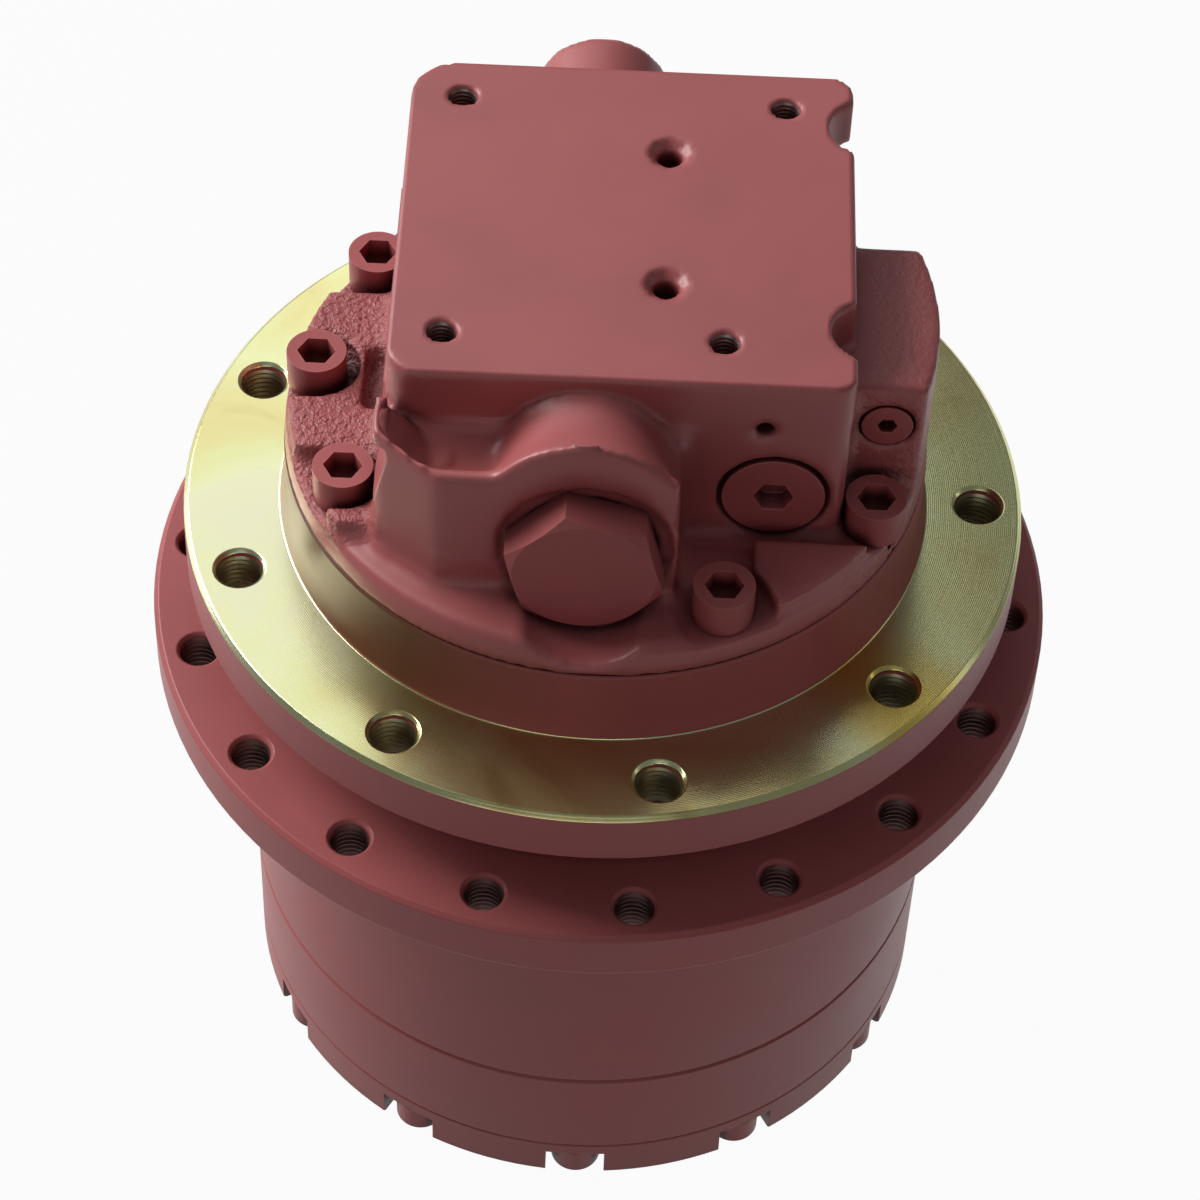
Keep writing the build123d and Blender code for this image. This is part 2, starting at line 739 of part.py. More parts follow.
with BuildPart() as shaft_seal:
    revolve(
        outline(
            (shaft_r + running, spindle_low + 3), (shaft_r + 1, spindle_low + 0.5),
            (shaft_seal_r, spindle_low + 0.5), (shaft_seal_r, spindle_low + 7.5),
            (shaft_seal_r - 2, spindle_low + 7.5), (shaft_seal_r - 2, spindle_low + 2.5),
            (shaft_r + 3, spindle_low + 2.5), (shaft_r + 2, spindle_low + 6),
            (shaft_r + running, spindle_low + 4),
        ),
        axis=Axis.Z,
    )
save(shaft_seal, "shaft_seal")

# ROTATING GROUP OF THE MOTOR

swash_plane = Plane((0, 0, swash_z)).rotated((swash_tilt, 0, 0))
swash_normal = swash_plane.z_dir
shoe_r = 8.6
shoe_t = 3.0
ball_end_r = 5.2
ball_lift = shoe_t + 5.6
retainer_t = 2.5


def piston_places():
    """Each piston's place and the centre of its ball above the tilted sliding face."""
    for k in range(pistons_n):
        x, y, _ = polar(piston_pitch_r, 90 + 360 * k / pistons_n)
        face_z = swash_z + y * tan(radians(swash_tilt))
        yield x, y, face_z + ball_lift / cos(radians(swash_tilt))


with BuildPart() as swash_plate:
    revolve(tube(shaft_r + 5, swash_r, cavity_floor + 0.05, swash_z + 20), axis=Axis.Z)
    split(bisect_by=swash_plane, keep=Keep.BOTTOM)
    with BuildSketch(Plane.XZ.offset(swash_r)):
        with Locations((0, cavity_floor)):
            Rectangle(24, 7, align=(Align.CENTER, Align.CENTER))
    extrude(amount=-2 * swash_r, mode=Mode.SUBTRACT)
save(swash_plate, "swash_plate")

with BuildPart() as pistons:
    for x, y, ball_z in piston_places():
        with Locations((x, y, ball_z)):
            Sphere(ball_end_r)
        with BuildSketch(Plane((x, y, ball_z))):
            Circle(3.4)
        extrude(amount=10)
        with BuildSketch(Plane((x, y, ball_z + 8))):
            Circle(piston_r)
        extrude(amount=block_low + 32 - swash_z - 8)
save(pistons, "pistons")

with BuildPart() as piston_shoes:
    for x, y, ball_z in piston_places():
        seat = Plane(
            origin=Vector(x, y, ball_z) - swash_normal * (ball_lift - 0.05),
            x_dir=swash_plane.x_dir,
            z_dir=swash_normal,
        )
        with BuildSketch(seat):
            Circle(shoe_r)
        extrude(amount=shoe_t)
        with BuildSketch(seat):
            Circle(6.9)
        extrude(amount=ball_lift + 1.5)
        with Locations((x, y, ball_z)):
            Sphere(ball_end_r + running, mode=Mode.SUBTRACT)
save(piston_shoes, "piston_shoes")

with BuildPart() as retainer_plate:
    retainer_foot = Plane(
        origin=Vector(0, 0, swash_z) + swash_normal * (shoe_t + 0.15),
        x_dir=swash_plane.x_dir,
        z_dir=swash_normal,
    )
    with BuildSketch(retainer_foot):
        Circle(swash_r - 2)
        Circle(shaft_r + 5, mode=Mode.SUBTRACT)
        for x, y, ball_z in piston_places():
            local = retainer_foot.to_local_coords(Vector(x, y, ball_z))
            with Locations((local.X, local.Y)):
                Circle(7.3, mode=Mode.SUBTRACT)
    extrude(amount=retainer_t)
save(retainer_plate, "retainer_plate")

with BuildPart() as cylinder_block:
    revolve(
        outline(
            (shaft_r + 2.2, block_low), (block_r - 6, block_low), (block_r, block_low + 6),
            (block_r, block_high - 2), (block_r - 2, block_high), (shaft_r + 2.2, block_high),
        ),
        axis=Axis.Z,
    )
    with BuildSketch(Plane.XY.offset(block_low)):
        for x, y, _ in piston_places():
            with Locations((x, y)):
                Circle(piston_r + running)
    extrude(amount=block_h - 10, mode=Mode.SUBTRACT)
    with BuildSketch(Plane.XY.offset(block_high)):
        for x, y, _ in piston_places():
            with Locations((x * 0.93, y * 0.93)):
                Circle(4)
    extrude(amount=-11, mode=Mode.SUBTRACT)
save(cylinder_block, "cylinder_block")

with BuildPart() as retainer_guide:
    guide_r = shaft_r + 4.6
    with Locations(Vector(0, 0, swash_z) + swash_normal * (shoe_t + 0.15 + retainer_t / 2)):
        Sphere(guide_r)
    with Locations((0, 0, swash_z + 8)):
        Cylinder(guide_r + 5, 20, align=(Align.CENTER, Align.CENTER, Align.MIN), mode=Mode.SUBTRACT)
        Cylinder(shaft_r + 0.4, 80, mode=Mode.SUBTRACT)
    with BuildSketch(Plane.XY.offset(swash_z - 3)):
        Rectangle(80, 80)
    extrude(amount=-40, mode=Mode.SUBTRACT)
save(retainer_guide, "retainer_guide")

with BuildPart() as block_spring:
    spring_low = swash_z + 8.2
    spring_wire = 1.6
    spring_helix = Helix(
        pitch=3.6, height=block_low - spring_low - spring_wire - 0.6, radius=shaft_r + 1.9,
        center=(0, 0, spring_low + 0.7 * spring_wire),
    )
    wire_start = Plane(origin=spring_helix @ 0, z_dir=spring_helix % 0)
    with BuildSketch(wire_start):
        Rectangle(spring_wire, spring_wire)
    sweep(path=spring_helix, is_frenet=True)
save(block_spring, "block_spring")

with BuildPart() as valve_plate:
    with BuildSketch(Plane.XY.offset(block_high + seated)):
        Circle(block_r)
        Circle(shaft_r, mode=Mode.SUBTRACT)
        for middle in (0, 180):
            with BuildLine(mode=Mode.PRIVATE) as kidney:
                CenterArc((0, 0), piston_pitch_r * 0.93, middle - 62, 124)
            add(trace(kidney.line, 7, mode=Mode.PRIVATE), mode=Mode.SUBTRACT)
    extrude(amount=valve_plate_t - 2 * seated)
save(valve_plate, "valve_plate")

# PARKING BRAKE

brake_plates_n = 4
brake_discs_n = 3
brake_t = brake_pack_t / (brake_plates_n + brake_discs_n)
pack_steps = [pack_low + k * brake_t for k in range(brake_plates_n + brake_discs_n)]

with BuildPart() as brake_plates:
    for low in pack_steps[0::2]:
        with BuildSketch(Plane.XY.offset(low + 0.03)):
            Circle(plate_bore_r - 0.1)
            with PolarLocations(plate_bore_r, 6):
                Circle(4.8)
            Circle(block_r + 3, mode=Mode.SUBTRACT)
        extrude(amount=brake_t - 0.06)
save(brake_plates, "brake_plates")

with BuildPart() as brake_discs:
    for low in pack_steps[1::2]:
        with BuildSketch(Plane.XY.offset(low + 0.03)):
            Circle(plate_bore_r - 6)
            Circle(block_r + 0.1, mode=Mode.SUBTRACT)
        extrude(amount=brake_t - 0.06)
save(brake_discs, "brake_discs")

disc_spring_h = 6.5

with BuildPart() as brake_piston:
    piston_top = seam - 2 * disc_spring_h - 0.3
    revolve(
        outline(
            (block_r + 5, pack_high + 0.1), (plate_bore_r - 3, pack_high + 0.1),
            (plate_bore_r - 3, pack_high + 9), (piston_low_r, pack_high + 9),
            (piston_low_r, piston_step + 1), (piston_high_r, piston_step + 1),
            (piston_high_r, piston_top), (spigot_r + 5, piston_top),
        ),
        axis=Axis.Z,
    )
save(brake_piston, "brake_piston")

with BuildPart() as brake_springs:
    inner, outer, t = spigot_r + 6, piston_high_r - 2, 2.2
    for low, flip in ((piston_top + 0.1, 0), (piston_top + 0.1 + disc_spring_h, 1)):
        at_inner, at_outer = (disc_spring_h - t, 0) if flip else (0, disc_spring_h - t)
        revolve(
            outline(
                (inner, low + at_inner), (outer, low + at_outer),
                (outer, low + at_outer + t), (inner, low + at_inner + t),
            ),
            axis=Axis.Z,
        )
save(brake_springs, "brake_springs")

# VALVE HOUSING

pad_front = -74.0
pad_left, pad_right = -46.5, 21.9
pad_high = plate_under + 3.0
boss_x = -5.5
boss_z = ledge + 29.4
boss_front_r = 24.4
boss_rear_z = ledge + 27.5
boss_rear_r = 21.0
boss_rear = 112.0
pad_arc_r = 30.0
pad_arc_t = 1.5
valley_r = 11.0
front_ledge_left = 44.0
gutter_w = 8.0
gutter_floor = ledge - 2.0
cheek_front = -60.0
cheek_rise = 5.0
plate_corner_r = 6.0
recess_w, recess_l, recess_depth = 7.0, 25.0, 6.0
spool_x = -4.5
spool_z = ledge + 17.5
spool_r = 12.5
spool_rear = 72.0
plug_thread_r = 20.0
spot_face_r = 26.0
spot_face_depth = 2.0
cheek_left = -66.0
lobe_high = ledge + 41.5
lobe_front, lobe_rear = -28.0, 31.0
selector_x, selector_z = 49.1, ledge + 13.7
selector_r = 8.0
selector_plug_r = 15.0
selector_ring_gap = 1.4
side_plug_x, side_plug_z = 81.4, ledge + 25.5
side_plug_r = 7.6
top_tap_r = 4.25
top_tap_depth = 22.0
top_row_rear, top_row_front = 69.5, -30.0
top_rear_x = (-47.0, 50.0)
top_front_x = (-47.5, 32.7)
top_taps = [(x, top_row_rear) for x in top_rear_x] + [(x, top_row_front) for x in top_front_x]
port_x = 15.4
port_rear, port_front = 48.0, -7.4
port_r = 3.75
port_recess_r = 6.2
bleed_r = 2.75
bleed_x, bleed_z = selector_x - 4, selector_z + 27.7
rear_port_r = 10.5
rear_port_x = (-45.0, 38.0)
rear_port_z = ledge + 22.0
body_rear = plate_rear - 24.0
plug_pocket_r = 24.2
notch_r = 11.5
notch_x = 74.5
notch_y = (63.0, -22.5)

with BuildPart() as valve_housing:
    # round base over the case, with the spigot that reaches down to the valve plate
    revolve(
        outline(
            (0, spigot_low), (spigot_r, spigot_low), (spigot_r, seam), (case_wall_r - 0.6, seam),
            (case_wall_r, seam + 0.6), (case_wall_r - 0.8, ledge - 2), (case_wall_r - 2.5, ledge),
            (0, ledge),
        ),
        axis=Axis.Z,
    )
    # raised cast ledge along the left
    with BuildSketch(Plane.XY.offset(ledge - 3)):
        Circle(case_wall_r - 2)
        with Locations((cheek_left + 4, -56)):
            Rectangle(40, 140, align=(Align.MAX, Align.MIN), mode=Mode.INTERSECT)
    extrude(amount=raised_ledge_h + 3)
    # recess between that ledge and the body
    with BuildSketch(Plane.XY.offset(ledge + raised_ledge_h)):
        with Locations((cheek_left, 3.5)):
            Rectangle(2 * recess_w, recess_l)
    extrude(amount=-recess_depth, mode=Mode.SUBTRACT)
    # the same ledge at the front right, behind a gutter along the body's foot
    with BuildSketch(Plane.XY.offset(ledge - 3)):
        Circle(case_wall_r - 2)
        with Locations((front_ledge_left, plate_front - gutter_w)):
            Rectangle(case_wall_r, case_wall_r, align=(Align.MIN, Align.MAX), mode=Mode.INTERSECT)
    extrude(amount=raised_ledge_h + 3)
    with BuildSketch(Plane.XY.offset(gutter_floor)):
        with Locations((pad_right, plate_front + 1)):
            Rectangle(plate_right - pad_right, gutter_w + 1, align=(Align.MIN, Align.MAX))
    extrude(amount=ledge, mode=Mode.SUBTRACT)
    # body under the mounting plate, with the chamfered front pad
    with BuildSketch(Plane.XY.offset(ledge - 4)):
        with BuildLine():
            Polyline(
                (cheek_left, body_rear), (cheek_left, cheek_front), (pad_left, pad_front),
                (pad_right, pad_front), (pad_right, plate_front), (plate_right, plate_front),
                (plate_right, body_rear), close=True,
            )
        make_face()
        fillet(vertices().group_by(Axis.Y)[-1], 7)
        fillet(vertices().sort_by_distance((plate_right, plate_front))[0], plate_corner_r)
    extrude(amount=plate_under - ledge + 4)
    with BuildSketch(Plane.XY.offset(plate_under - 4)):
        with BuildLine():
            Polyline(
                (cheek_left, plate_front), (cheek_left, cheek_front), (pad_left, pad_front),
                (pad_right, pad_front), (pad_right, plate_front), close=True,
            )
        make_face()
    extrude(amount=pad_high - plate_under + 4)
    # rim that climbs the cheek to the plate's corner
    with BuildSketch(Plane.XY.offset(pad_high - 4)):
        with BuildLine():
            Polyline(
                (cheek_left, plate_front), (cheek_left, cheek_front), (pad_left, pad_front),
                (pad_left, plate_front), close=True,
            )
        make_face()
    extrude(amount=cheek_rise + 4)
    with BuildSketch(Plane.XZ.offset(-plate_front)):
        with BuildLine():
            Polyline(
                (cheek_left, pad_high + cheek_rise), (pad_left + 1, pad_high),
                (pad_left + 1, pad_high + cheek_rise + 1),
                (cheek_left, pad_high + cheek_rise + 1), close=True,
            )
        make_face()
    extrude(amount=plate_front - pad_front + 1, mode=Mode.SUBTRACT)
    # casting valley between the pad and the mounting plate, closed at its left end
    valley_y, valley_z = plate_front - valley_r, pad_high
    valley_left = pad_left - 0.5
    with BuildSketch(Plane.YZ.offset(valley_left)):
        with Locations((valley_y, valley_z)):
            Circle(valley_r)
            Rectangle(2 * valley_r, 2 * valley_r, align=(Align.CENTER, Align.MIN))
    extrude(amount=pad_right - valley_left + 1, mode=Mode.SUBTRACT)
    for end_x, end_y, end_r in (
        (valley_left, valley_y, valley_r), (valley_left - 7, valley_y + 4, valley_r - 1)
    ):
        with Locations((end_x, end_y, valley_z)):
            Sphere(end_r, mode=Mode.SUBTRACT)
            Cylinder(
                end_r, 20, align=(Align.CENTER, Align.CENTER, Align.MIN), mode=Mode.SUBTRACT
            )
    # spool boss, front to rear, flaring into the pad's round head
    with BuildSketch(Plane.XZ.offset(-boss_rear)):
        with Locations((boss_x, boss_rear_z)):
            Circle(boss_rear_r)
    extrude(amount=boss_rear)
    with BuildSketch(Plane((boss_x, 0, boss_z))):
        with BuildLine():
            Polyline(
                (boss_front_r, plate_front - 3), (boss_front_r, plate_front + 10),
                (0, plate_front + 10), (0, pad_front), (pad_arc_r, pad_front),
                (pad_arc_r, pad_front + pad_arc_t),
            )
            TangentArc(
                (boss_front_r, plate_front - 3), (pad_arc_r, pad_front + pad_arc_t),
                tangent=(0, -1),
            )
        make_face()
    revolve(axis=Axis((boss_x, 0, boss_z), (0, 1, 0)))
    with BuildSketch(Plane.XY.offset(ledge + raised_ledge_h + 1)):
        with Locations((pad_right, plate_front)):
            Rectangle(20, 40, align=(Align.MIN, Align.MAX))
    extrude(amount=plate_t + body_h, mode=Mode.SUBTRACT)
    # square mounting plate with its corner radii and the two side notches
    with BuildSketch(Plane.XY.offset(plate_under)):
        with BuildLine():
            Polyline(
                (plate_left, plate_rear), (plate_left, plate_front),
                (plate_right, plate_front), (plate_right, plate_rear), close=True,
            )
        make_face()
        fillet(vertices().sort_by_distance((plate_left, plate_rear))[0], 14)
        fillet(vertices().sort_by_distance((plate_left, plate_front))[0], 10)
        fillet(vertices().group_by(Axis.X)[-1], plate_corner_r)
        for y in notch_y:
            with Locations((notch_x, y)):
                Circle(notch_r, mode=Mode.SUBTRACT)
    extrude(amount=plate_t)
    # side lobe that follows the round base
    with BuildSketch(Plane.XY.offset(ledge - 4)):
        Circle(case_wall_r - 0.8)
        with Locations((plate_right - 4, lobe_front)):
            Rectangle(
                case_wall_r, lobe_rear - lobe_front, align=(Align.MIN, Align.MIN),
                mode=Mode.INTERSECT,
            )
    extrude(amount=lobe_high - ledge + 4)
    # screw pockets, open outwards
    for pitch_r, angle, pocket_r, opening in housing_screw_places:
        seat = Plane(
            origin=polar(pitch_r, angle, ledge - pocket_floor),
            x_dir=polar(1, opening), z_dir=(0, 0, 1),
        )
        with BuildSketch(seat):
            Circle(pocket_r)
            Rectangle(20, 2 * pocket_r, align=(Align.MIN, Align.CENTER))
        extrude(amount=plate_under - ledge + pocket_floor - 0.5, mode=Mode.SUBTRACT)
        with BuildSketch(seat):
            Circle(cover_screw_r + 0.5)
        extrude(amount=-base_h, mode=Mode.SUBTRACT)
    # room for the hexagon of the spool plug in front of the pad
    with BuildSketch(Plane.XZ.offset(-pad_front)):
        with Locations((spool_x, spool_z)):
            Circle(plug_pocket_r)
    extrude(amount=30, mode=Mode.SUBTRACT)
    # bore for the upper shaft bearing and the shaft's end
    revolve(
        outline(
            (0, spigot_low), (upper_bearing_outer_r - 3, spigot_low),
            (upper_bearing_outer_r - 3, upper_bearing_z),
            (upper_bearing_outer_r + seated, upper_bearing_z),
            (upper_bearing_outer_r + seated, upper_bearing_z + shaft_bearing_w + 0.2),
            (shaft_step_r + 1, upper_bearing_z + shaft_bearing_w + 0.2),
            (shaft_step_r + 1, seam + 1), (0, seam + 1),
        ),
        axis=Axis.Z,
        mode=Mode.SUBTRACT,
    )
    # counterbalance spool bore and selector spool bore
    with BuildSketch(Plane.XZ.offset(-pad_front)):
        with Locations((spool_x, spool_z)):
            Circle(spot_face_r)
    extrude(amount=-spot_face_depth, mode=Mode.SUBTRACT)
    with BuildSketch(Plane.XZ.offset(-pad_front)):
        with Locations((spool_x, spool_z)):
            Circle(plug_thread_r + thread_relief)
    extrude(amount=-20, mode=Mode.SUBTRACT)
    with BuildSketch(Plane.XZ.offset(-pad_front)):
        with Locations((spool_x, spool_z)):
            Circle(spool_r + running)
    extrude(amount=-(spool_rear - pad_front), mode=Mode.SUBTRACT)
    with BuildSketch(Plane.XZ.offset(-plate_front)):
        with Locations((selector_x, selector_z)):
            Circle(selector_plug_r + selector_ring_gap)
    extrude(amount=-4, mode=Mode.SUBTRACT)
    with BuildSketch(Plane.XZ.offset(-plate_front)):
        with Locations((selector_x, selector_z)):
            Circle(11 + thread_relief)
    extrude(amount=-14, mode=Mode.SUBTRACT)
    with BuildSketch(Plane.XZ.offset(-plate_front)):
        with Locations((selector_x, selector_z)):
            Circle(selector_r + running)
    extrude(amount=-74, mode=Mode.SUBTRACT)
    with BuildSketch(Plane.XZ.offset(-lobe_front)):
        with Locations((side_plug_x, side_plug_z)):
            Circle(side_plug_r + 0.5)
    extrude(amount=-12, mode=Mode.SUBTRACT)
    # mounting plate: tapped holes, sealed ports
    with BuildSketch(Plane.XY.offset(plate_top)):
        with Locations(*top_taps):
            Circle(top_tap_r)
    extrude(amount=-top_tap_depth, mode=Mode.SUBTRACT)
    with BuildSketch(Plane.XY.offset(plate_top)):
        with Locations((port_x, port_rear), (port_x, port_front)):
            Circle(port_r)
    extrude(amount=-32, mode=Mode.SUBTRACT)
    with BuildSketch(Plane.XY.offset(plate_top)):
        with Locations((port_x, port_rear), (port_x, port_front)):
            Circle(port_recess_r)
    extrude(amount=-2, mode=Mode.SUBTRACT)
    # bleed drilling above the selector plug, service ports at the rear
    with BuildSketch(Plane.XZ.offset(-plate_front)):
        with Locations((bleed_x, bleed_z)):
            Circle(bleed_r)
    extrude(amount=-12, mode=Mode.SUBTRACT)
    with BuildSketch(Plane.XZ.offset(-body_rear)):
        with Locations(*[(x, rear_port_z) for x in rear_port_x]):
            Circle(rear_port_r)
    extrude(amount=18, mode=Mode.SUBTRACT)
save(valve_housing, "valve_housing")

# PLUGS AND SCREWS OF THE HOUSING

plug_hex = 20.5
plug_head_t = 12.0
plug_corner_r = 24.5

with BuildPart() as spool_plug:
    plug_seat = Plane.XZ.offset(-pad_front - spot_face_depth + seated)
    with BuildSketch(plug_seat):
        with Locations((spool_x, spool_z)):
            RegularPolygon(plug_hex, 6, major_radius=False, rotation=-16)
    extrude(amount=plug_head_t)
    plug_face = pad_front + spot_face_depth - seated - plug_head_t
    with BuildSketch(Plane((spool_x, 0, spool_z))):
        with BuildLine():
            Polyline(
                (0, plug_face), (plug_hex, plug_face),
                (plug_corner_r, plug_face + (plug_corner_r - plug_hex) * tan(radians(30))),
                (plug_corner_r, pad_front + 10), (0, pad_front + 10), close=True,
            )
        make_face()
    revolve(axis=Axis((spool_x, 0, spool_z), (0, 1, 0)), mode=Mode.INTERSECT)
    with BuildSketch(plug_seat):
        with Locations((spool_x, spool_z)):
            Circle(plug_thread_r)
    extrude(amount=-16)
    with BuildSketch(Plane.XZ.offset(-pad_front - 18)):
        with Locations((spool_x, spool_z)):
            Circle(10)
    extrude(amount=12, mode=Mode.SUBTRACT)
save(spool_plug, "spool_plug")

with BuildPart() as selector_plug:
    with BuildSketch(Plane.XZ.offset(-plate_front - 4)):
        with Locations((selector_x, selector_z)):
            Circle(selector_plug_r)
    extrude(amount=3.6)
    with BuildSketch(Plane.XZ.offset(-plate_front - 4)):
        with Locations((selector_x, selector_z)):
            Circle(11)
    extrude(amount=-9)
    with BuildSketch(Plane.XZ.offset(-plate_front)):
        with Locations((selector_x, selector_z)):
            RegularPolygon(5.0, 6, major_radius=False)
    extrude(amount=-7, mode=Mode.SUBTRACT)
save(selector_plug, "selector_plug")

with BuildPart() as side_plug:
    with BuildSketch(Plane.XZ.offset(-lobe_front - 10)):
        with Locations((side_plug_x, side_plug_z)):
            Circle(side_plug_r)
    extrude(amount=9.6)
    with BuildSketch(Plane.XZ.offset(-lobe_front)):
        with Locations((side_plug_x, side_plug_z)):
            RegularPolygon(2.5, 6, major_radius=False)
    extrude(amount=-5, mode=Mode.SUBTRACT)
save(side_plug, "side_plug")

with BuildPart() as housing_screws:
    screw_places = [polar(pitch_r, angle)[0:2] for pitch_r, angle, *_ in housing_screw_places]
    with BuildSketch(Plane.XY.offset(ledge - pocket_floor)):
        with Locations(*screw_places):
            Circle(cover_screw_head_r)
    extrude(amount=cover_screw_head_h)
    with BuildSketch(Plane.XY.offset(ledge - pocket_floor)):
        with Locations(*screw_places):
            Circle(cover_screw_r)
    extrude(amount=-(base_h - pocket_floor + cover_screw_thread))
    with BuildSketch(Plane.XY.offset(ledge - pocket_floor + cover_screw_head_h)):
        with Locations(*screw_places):
            RegularPolygon(5.0, 6, major_radius=False)
    extrude(amount=-7, mode=Mode.SUBTRACT)
save(housing_screws, "housing_screws")

# SPOOLS AND THEIR SPRINGS

spool_front = pad_front + 18.0 + 18.0
spool_back = spool_rear - 18.0


def turned_along_y(x, z, *stations):
    """A shaft along Y, given as pairs of radius and the Y where that radius ends."""
    start = stations[0][1]
    for radius, end in stations[1:]:
        with Locations(Location((x, start, z), (-90, 0, 0))):
            Cylinder(radius, end - start, align=(Align.CENTER, Align.CENTER, Align.MIN))
        start = end


with BuildPart() as counterbalance_spool:
    turned_along_y(
        spool_x, spool_z,
        (0, spool_front), (spool_r, spool_front + 22), (8, spool_front + 32),
        (spool_r, spool_front + 44), (8, spool_back - 32), (spool_r, spool_back - 22),
        (8, spool_back - 18), (spool_r, spool_back),
    )
save(counterbalance_spool, "counterbalance_spool")


def y_spring(name, x, z, start, end, radius, turns, wire):
    """A coil spring of square wire lying along Y."""
    with BuildPart() as spring:
        length = end - start - wire
        coil = Helix(
            pitch=length / turns, height=length, radius=radius,
            center=(x, start + wire / 2, z), direction=(0, 1, 0),
        )
        with BuildSketch(Plane(origin=coil @ 0, z_dir=coil % 0)):
            Rectangle(wire, wire)
        sweep(path=coil, is_frenet=True)
    save(spring, name)


y_spring("spool_spring_front", spool_x, spool_z, pad_front + 18.1, spool_front - 0.1, 8.2, 4, 2.4)
y_spring("spool_spring_rear", spool_x, spool_z, spool_back + 0.1, spool_rear - 0.1, 8.2, 4, 2.4)

selector_front = plate_front + 20.0
selector_back = plate_front + 58.0

with BuildPart() as selector_spool:
    turned_along_y(
        selector_x, selector_z,
        (0, selector_front), (selector_r, selector_front + 12), (5, selector_front + 22),
        (selector_r, selector_back),
    )
save(selector_spool, "selector_spool")

y_spring(
    "selector_spring", selector_x, selector_z, selector_back + 0.1, plate_front + 73.9, 5.2, 4, 1.6
)
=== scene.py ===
# %% [markdown]
# # An excavator track drive, painted and plated
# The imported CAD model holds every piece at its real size. This notebook gives the pieces that
# can be seen their finish: soft casting fillets under thick red enamel, rounded machined edges,
# cut threads in the bolt holes, and the one bare face of the frame flange with its yellow zinc.

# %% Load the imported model
import bpy
import bmesh
import json
import numpy as np
from math import cos, pi, radians, sin
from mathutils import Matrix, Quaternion, Vector

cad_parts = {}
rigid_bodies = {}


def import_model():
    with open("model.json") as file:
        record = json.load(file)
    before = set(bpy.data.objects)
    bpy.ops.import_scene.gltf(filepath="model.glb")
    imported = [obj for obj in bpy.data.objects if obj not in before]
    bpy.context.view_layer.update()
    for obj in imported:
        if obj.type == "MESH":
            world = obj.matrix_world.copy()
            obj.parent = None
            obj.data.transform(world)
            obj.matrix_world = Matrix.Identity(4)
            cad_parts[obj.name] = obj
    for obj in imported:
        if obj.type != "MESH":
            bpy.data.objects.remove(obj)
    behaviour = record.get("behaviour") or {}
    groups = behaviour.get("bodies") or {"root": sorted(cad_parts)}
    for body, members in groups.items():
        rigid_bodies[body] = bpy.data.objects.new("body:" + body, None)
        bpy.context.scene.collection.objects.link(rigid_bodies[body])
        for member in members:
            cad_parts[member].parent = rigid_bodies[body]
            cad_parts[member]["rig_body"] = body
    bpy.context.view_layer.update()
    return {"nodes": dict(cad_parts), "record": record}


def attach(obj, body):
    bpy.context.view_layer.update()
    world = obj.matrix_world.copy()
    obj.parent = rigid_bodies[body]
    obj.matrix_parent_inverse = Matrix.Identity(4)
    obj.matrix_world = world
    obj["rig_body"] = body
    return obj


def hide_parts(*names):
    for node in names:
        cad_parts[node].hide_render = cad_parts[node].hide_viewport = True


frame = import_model()
mounts = {mount["name"]: mount for mount in frame["record"]["mounts"]}
mm = 0.001

# %% [markdown]
# The photograph looks down at the drive from in front, with a long lens. The camera's place was
# worked out from the circles of the flanges, so it is given as a place, a point it looks at and
# a small turn about its own axis.

# %% Camera
camera_place = Vector((0.0, -0.787, 1.0682))
camera_aim = Vector((0.0004, 0.0, 0.1594))
camera_roll = radians(2.48)

camera = bpy.data.objects.new("camera", bpy.data.cameras.new("camera"))
bpy.context.scene.collection.objects.link(camera)
bpy.context.scene.camera = camera
camera.data.lens = 113.6
camera.data.sensor_width = 36.0
camera.data.clip_start, camera.data.clip_end = 0.05, 30.0
camera.location = camera_place
camera.rotation_mode = "QUATERNION"
level_view = (camera_aim - camera_place).to_track_quat("-Z", "Y")
camera.rotation_quaternion = level_view @ Quaternion((0, 0, 1), camera_roll)
print("camera", [round(v, 3) for v in camera_place])

# %% [markdown]
# Shader node trees get long, so small helpers make and join nodes, do sums, and place the noises,
# bumps and mixes that come up again and again. Node groups have named inputs and outputs, and
# hold only colours, masks, values and heights.

# %% Helpers for node trees
def add_node(tree, kind, **settings):
    made = tree.nodes.new("ShaderNode" + kind)
    for name, value in settings.items():
        setattr(made, name, value)
    return made


def join(tree, *pairs):
    for source, target in pairs:
        tree.links.new(source, target)


def feed(tree, socket, value):
    """Give a socket a number or a colour, or a link from another socket."""
    if isinstance(value, bpy.types.NodeSocket):
        tree.links.new(value, socket)
    else:
        socket.default_value = value


def new_group(name, inputs, outputs):
    """A node group whose sockets are given as (name, kind, starting value)."""
    tree = bpy.data.node_groups.new(name, "ShaderNodeTree")
    for label, kind, start in inputs:
        socket = tree.interface.new_socket(label, in_out="INPUT", socket_type="NodeSocket" + kind)
        socket.default_value = start
    for label, kind in outputs:
        tree.interface.new_socket(label, in_out="OUTPUT", socket_type="NodeSocket" + kind)
    return tree, tree.nodes.new("NodeGroupInput"), tree.nodes.new("NodeGroupOutput")


def use_group(tree, group, **values):
    placed = add_node(tree, "Group", node_tree=group)
    for name, value in values.items():
        placed.inputs[name.replace("_", " ")].default_value = value
    return placed


def math_node(tree, operation, *values, clamp=False):
    made = add_node(tree, "Math", operation=operation, use_clamp=clamp)
    for socket, value in zip(made.inputs, values):
        feed(tree, socket, value)
    return made.outputs[0]


def product(tree, first, *others, clamp=False):
    for other in others:
        first = math_node(tree, "MULTIPLY", first, other, clamp=clamp)
    return first


